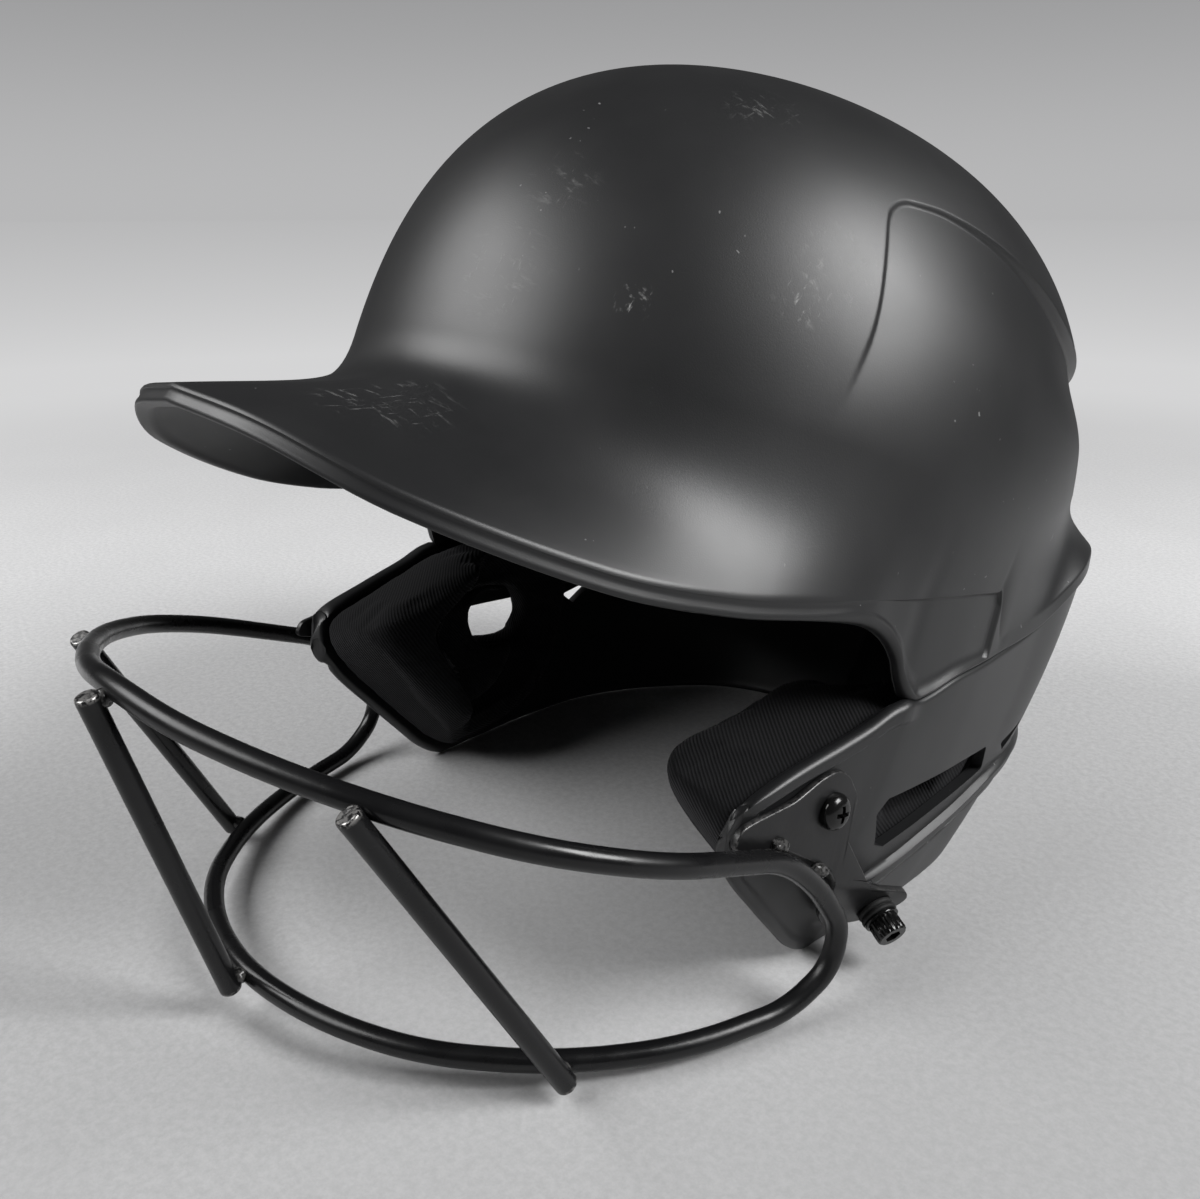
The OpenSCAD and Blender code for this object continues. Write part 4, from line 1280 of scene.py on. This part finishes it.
def bent(y, z, x):
    """A point of the flat blank, x through its thickness, bent round the tab's hinge."""
    tilt = math.radians(tab_tilt)
    below = tab_top_z - z
    span = plate_bend_r * tilt
    s = below + span / 2
    if s <= 0:
        return (x, y, z)
    w = min(s / plate_bend_r, tilt)
    axis = -plate_bend_r
    px, pz = axis + (plate_bend_r + x) * math.cos(w), -(plate_bend_r + x) * math.sin(w)
    past = max(s - span, 0)
    return (px - past * math.sin(w), y, tab_top_z + span / 2 + pz - past * math.cos(w))


def build_plate(material):
    """The left plate: one blank of sheet steel, bent along the tab, its edges broken."""
    ring = rounded_outline(PLATE, 2.2)
    bm = bmesh.new()
    verts = [bm.verts.new((0.0, y, z)) for y, z in ring]
    face = bm.faces.new(verts)
    bmesh.ops.triangulate(bm, faces=[face])
    for k in range(-8, 9):
        geometry = bm.verts[:] + bm.edges[:] + bm.faces[:]
        bmesh.ops.bisect_plane(bm, geom=geometry, plane_co=(0, 0, tab_top_z + 0.25 * k), plane_no=(0, 0, 1))
    result = bmesh.ops.extrude_face_region(bm, geom=bm.faces[:])
    for v in [g for g in result["geom"] if isinstance(g, bmesh.types.BMVert)]:
        v.co.x += plate_t
    bmesh.ops.recalc_face_normals(bm, faces=bm.faces)
    edges = [e for e in bm.edges if len(e.link_faces) == 2 and e.calc_face_angle(0) > math.radians(50)]
    bmesh.ops.bevel(bm, geom=edges, offset=0.45, segments=3, profile=0.6, affect="EDGES")
    worn = []
    for v in bm.verts:
        x, y, z = v.co
        on_edge = plate_t * 0.6 < x < plate_t - 0.02
        worn.append((upper_wear if z > -90 else tab_wear) if on_edge else 0.0)
        v.co = Vector(bent(y, z, x))
    mesh = bpy.data.meshes.new("plate_left")
    bm.to_mesh(mesh)
    bm.free()
    co = np.array([v.co for v in mesh.vertices])
    mesh.vertices.foreach_set("co", rest(placed(co, at_panel())).ravel())
    mesh.update()
    set_wear(mesh, worn)
    ob = add_object("plate_left", mesh, material)
    sharpen(mesh, 32)
    return ob


# Fasteners
def cross_cutter(name, matrix):
    """The tapered cross of a Phillips recess."""
    arms = []
    for turn in (0, 90):
        w, l, top, bottom = 0.62, 2.7, screw_head_h + 0.6, screw_head_h - 2.2
        box = [[-l, -w, top], [l, -w, top], [l, w, top], [-l, w, top],
               [-l * 0.45, -w * 0.7, bottom], [l * 0.45, -w * 0.7, bottom],
               [l * 0.45, w * 0.7, bottom], [-l * 0.45, w * 0.7, bottom]]
        turned = placed(box, Matrix.Rotation(math.radians(turn + 14), 4, "Z"))
        faces = [[0, 1, 2, 3], [7, 6, 5, 4], [0, 4, 5, 1], [1, 5, 6, 2], [2, 6, 7, 3], [3, 7, 4, 0]]
        arms.append(solid(name + str(turn), placed(turned, matrix), faces))
    return arms


def build_pan_screw(material):
    """The left upper screw: a domed pan head with a cross recess, and its shank."""
    r, h = screw_head_d, screw_head_h
    profile = [(thread_d - 0.3, -screw_length), (thread_d, 0.5 - screw_length), (thread_d, 0.02),
               (r - 0.5, 0.02), (r - 0.1, 0.15), (r, 0.5), (r, 1.1), (r - 0.35, 1.75), (r - 1.1, 2.35),
               (r - 2.4, 2.85), (r - 4.2, 3.25), (r - 6.4, h - 0.12), (r - 8.6, h), (0.2, h)]
    ob = lathe("pan_screw_left", profile, at_screw(), material, 64)
    for arm in cross_cutter("cross_cutter", at_screw()):
        cut(ob, arm)
        bpy.data.objects.remove(arm)
    ob.data.shade_smooth()
    sharpen(ob.data, 35)
    return ob


def build_socket_bolt(material):
    """The left lower bolt: a knurled cap with a hex socket, and its shank."""
    base = bushing_h + washer_t
    matrix = at_bolt() @ Matrix.Translation((0, 0, base))
    d, h = bolt_head_d, bolt_head_h
    end = -bolt_length - bushing_h
    profile = [(thread_d - 0.3, end), (thread_d, end + 0.5), (thread_d, 0.02), (d - 0.5, 0.02),
               (d, 0.35), (d, h - 0.75), (d - 0.25, h - 0.3), (d - 0.9, h), (0.2, h)]
    ob = lathe("socket_bolt_left", profile, matrix, material, 96)
    mesh = ob.data
    inverse = np.linalg.inv(np.array(matrix))
    local = placed(unrest(np.array([v.co for v in mesh.vertices])), inverse)
    on_side = (local[:, 2] > 0.3) & (local[:, 2] < h - 0.2)
    on_side &= np.hypot(local[:, 0], local[:, 1]) > d / 2 - 0.2
    angle = np.arctan2(local[:, 1], local[:, 0])
    knurl = 1 - 0.05 * (np.cos(angle * 24) < 0) * on_side
    local[:, :2] *= knurl[:, None]
    mesh.vertices.foreach_set("co", rest(placed(local, matrix)).ravel())
    mesh.update()
    hexagon = lathe("hex_cutter", [(socket_d, h - socket_depth), (socket_d, h + 1)], matrix, None, 6)
    cut(ob, hexagon)
    bpy.data.objects.remove(hexagon)
    ob.data.shade_smooth()
    sharpen(ob.data, 35)
    return ob


def unrest(p):
    """Points back in the helmet's frame, in millimetres."""
    p = np.asarray(p, float) * 1000 - np.array([0, box_middle, rim_drop * math.cos(pitch)])
    c, s = math.cos(pitch), math.sin(pitch)
    return vec(p[..., 0], p[..., 1] * c - p[..., 2] * s, p[..., 1] * s + p[..., 2] * c)


def build_washer(material):
    """The left washer, with broken edges."""
    low, high, d, broken = bushing_h, bushing_h + washer_t, washer_d, 0.25
    profile = [(bore_d, low), (d - broken * 2, low), (d - broken * 0.5, low + broken * 0.35),
               (d, low + broken), (d, high - broken), (d - broken * 0.5, high - broken * 0.35),
               (d - broken * 2, high), (bore_d, high)]
    ob = lathe("washer_left", profile, at_bolt(), material, 64, bored=True)
    sharpen(ob.data, 40)
    return ob


def build_bushing(material):
    """The left bushing: two soft collars with a groove between them."""
    d, h = bushing_d, bushing_h
    profile = [(bore_d, 0), (d - 1.6, 0), (d - 0.3, 0.2), (d, 0.6), (d, 1.0), (d - 0.3, 1.35), (d - 1.5, 1.6),
               (d - 1.5, 1.75), (d - 0.3, 2.0), (d, 2.4), (d, 2.8), (d - 0.4, 3.05), (d - 1.6, h),
               (bore_d, h)]
    ob = lathe("bushing_left", profile, at_bolt(), material, 64, bored=True)
    sharpen(ob.data, 50)
    return ob


def pair(build, name, look, node):
    """A left piece and its mirror image in one object, for a node that holds both."""
    left = build(look)
    right = mirror_copy(left, left.name + "_right")
    return seat(joined(name, [left, right]), node)


def seat_both(left, right_name, node):
    """Seats a left piece of the guard and its mirror image, each for its own node."""
    right = mirror_copy(left, right_name)
    seat(left, node + "_left")
    seat(right, node + "_right")


def seat_pad(pad, look, node):
    """Gives a soft pad its finish and seats it for its node."""
    pad.data.materials.clear()
    pad.data.materials.append(look)
    seat(pad, node)


# Assembly
seat(build_upper_shell(shell_look), "upper_shell")
seat(build_lower_shell(shell_look), "lower_shell")
seat(build_liner(foam_look), "foam_liner")

PADS = [
    ("front_cushion", (0, 22), (34, 15), "front_pad"),
    ("side_cushion_left", (90, 24), (30, 17), "side_pad_left"),
    ("side_cushion_right", (-90, 24), (30, 17), "side_pad_right"),
    ("rear_cushion", (180, 22), (36, 15), "rear_pad")
]
for name, centre, half, node in PADS:
    pad = puff(dome_pad(name, centre, half), voxel=0.0024, swell=0.0025, frames=10)
    seat_pad(pad, jersey_look, node)
crown = puff(crown_pad("crown_cushion"), voxel=0.0026, swell=0.0025, frames=10)
seat_pad(crown, jersey_look, "crown_pad")

for build, name, look in ((build_jaw_pad, "jaw", fabric_look), (build_ear_pad, "ear", jersey_look)):
    left = build()
    right = mirror_copy(left, name + "_cushion_right")
    seat_pad(left, look, name + "_pad_left")
    seat_pad(right, look, name + "_pad_right")

loop = GUARD_HALF + [list(np.array(p) * flip) for p in GUARD_HALF[-2:0:-1]]
loop_path = rounded_path(loop, 12)
wire = tube("guard_wire", loop_path, [wire_d] * len(loop_path), coating_look, True)
set_wear(wire.data, np.zeros(len(wire.data.vertices)))
seat(wire, "guard_loop")
seat(build_strut("strut_center", STRUT_CENTER, coating_look), "guard_strut_center")
seat_both(build_strut("strut_left", STRUT_SIDE, coating_look), "strut_right", "guard_strut")
seat(build_welds(bead_look), "weld_beads")
seat_both(build_plate(plate_look), "plate_right", "side_plate")

pair(build_pan_screw, "pan_screws", gloss_look, "upper_screws")
pair(build_socket_bolt, "socket_bolts", gloss_look, "lower_bolts")
pair(build_washer, "washers", gloss_look, "bolt_washers")
pair(build_bushing, "bushings", rubber_look, "rubber_bushings")
dress("upper_t_nuts", zinc_look)
dress("lower_t_nuts", zinc_look)

# Camera
camera_at = Vector((0.2364, -0.2447, 0.1943))
camera_azimuth = 45.88
camera_elevation = 18.914
camera_roll = -0.075
camera_lens = 33.86


def look_from(ob, azimuth, elevation):
    """Turns the object to look at the helmet from a direction, and gives that direction back."""
    a, e = math.radians(azimuth), math.radians(elevation)
    back = Vector((math.sin(a) * math.cos(e), -math.cos(a) * math.cos(e), math.sin(e)))
    ob.rotation_mode = "QUATERNION"
    ob.rotation_quaternion = (-back).to_track_quat("-Z", "Y")
    return back


def add_camera():
    camera = bpy.data.cameras.new("camera")
    camera.lens = camera_lens
    camera.sensor_width = 36
    camera.clip_start = 0.01
    ob = linked("camera", camera)
    look_from(ob, camera_azimuth, camera_elevation)
    roll = Matrix.Rotation(math.radians(camera_roll), 3, "Z").to_quaternion()
    ob.rotation_quaternion = ob.rotation_quaternion @ roll
    ob.location = camera_at
    bpy.context.scene.camera = ob


# Studio: pale paper that runs up into an even backdrop, and two soft boxes
horizon_color = (0.475, 0.475, 0.48)
near_glow = (0.66, 0.66, 0.665)
zenith_color = (0.30, 0.30, 0.305)
unseen_glow = 0.3
world_fill = 0.04
floor_size = 30.0
far_side = (-0.718, 0.696, 0)


def add_floor():
    """A wide sheet of paper, darker in front by painted shade, that fades to the backdrop's brightness far
    behind.
    """
    s = floor_size
    points = [[-s, -s, 0], [s, -s, 0], [s, s, 0], [-s, s, 0]]
    material, tree, bsdf = new_material("paper")
    set_base(bsdf, (0.7, 0.7, 0.7), 0.9, Specular_IOR_Level=0.15)
    blot = ramp(tree, noise(tree, 420, 8, 0.8), 0.32, 0.68)
    broad = ramp(tree, noise(tree, 9, 3), 0.3, 0.7)
    tone = mix_color(tree, blot, (0.62, 0.62, 0.625), (0.80, 0.80, 0.805))
    tone = mix_color(tree, math_node(tree, "MULTIPLY", broad, 0.25), tone, (0.62, 0.62, 0.625))
    # Painted shade: towards the camera, the paper's colour is pulled up to 72 percent of the way to a dark
    # grey, for the shade in front of and under the helmet.
    along = add_node(tree, "VectorMath", {0: coordinates(tree), 1: far_side}, operation="DOT_PRODUCT")
    front = ramp(tree, along.outputs["Value"], -0.3, 0.2, 0.72, 0.0)
    feed(tree, bsdf.inputs["Base Color"], mix_color(tree, front, tone, (0.22, 0.22, 0.222)))
    far = add_node(tree, "VectorMath", {0: coordinates(tree)}, operation="LENGTH").outputs["Value"]
    fade = mix_color(tree, math_node(tree, "DIVIDE", 1.4, far), horizon_color, near_glow)
    seen = add_node(tree, "LightPath").outputs["Is Camera Ray"]
    glow = add_node(tree, "Emission", {"Color": fade, "Strength": ramp(tree, seen, 0, 1, unseen_glow, 1)})
    mix = add_node(tree, "MixShader", {0: ramp(tree, far, 0.4, 1.15), 1: bsdf.outputs[0], 2: glow.outputs[0]})
    feed(tree, tree.nodes["Material Output"].inputs["Surface"], mix.outputs[0])
    add_object("floor", mesh_of("floor", points, [[0, 1, 2, 3]]), material)


def add_world():
    """The backdrop that the camera sees, darker upwards, and a weak fill for everything else."""
    world = bpy.data.worlds.new("world")
    bpy.context.scene.world = world
    world.use_nodes = True
    tree = world.node_tree
    tree.nodes.clear()
    direction = add_node(tree, "TexCoord").outputs["Generated"]
    height = add_node(tree, "SeparateXYZ", {0: direction}).outputs["Z"]
    sky = mix_color(tree, ramp(tree, height, 0.0, 0.22), horizon_color, zenith_color)
    seen = add_node(tree, "Background", {"Color": sky})
    fill = add_node(tree, "Background", {"Color": (1, 1, 1), "Strength": world_fill})
    camera_ray = add_node(tree, "LightPath").outputs["Is Camera Ray"]
    mix = add_node(tree, "MixShader", {0: camera_ray, 1: fill.outputs[0], 2: seen.outputs[0]})
    add_node(tree, "OutputWorld", {"Surface": mix.outputs[0]})


def add_light(name, azimuth, elevation, distance, size, power):
    """An area light that looks at the helmet from a direction."""
    light = bpy.data.lights.new(name, "AREA")
    light.shape = "RECTANGLE"
    light.size, light.size_y = size
    light.energy = power
    ob = linked(name, light)
    ob.location = Vector((0, 0, 0.12)) + look_from(ob, azimuth, elevation) * distance


add_camera()
add_floor()
add_world()
add_light("left_softbox", -34, 39, 1.5, (1.3, 0.75), 21)
add_light("right_softbox", 114, 38, 1.5, (0.6, 0.75), 25)

scene = bpy.context.scene
scene.view_settings.view_transform = "Standard"
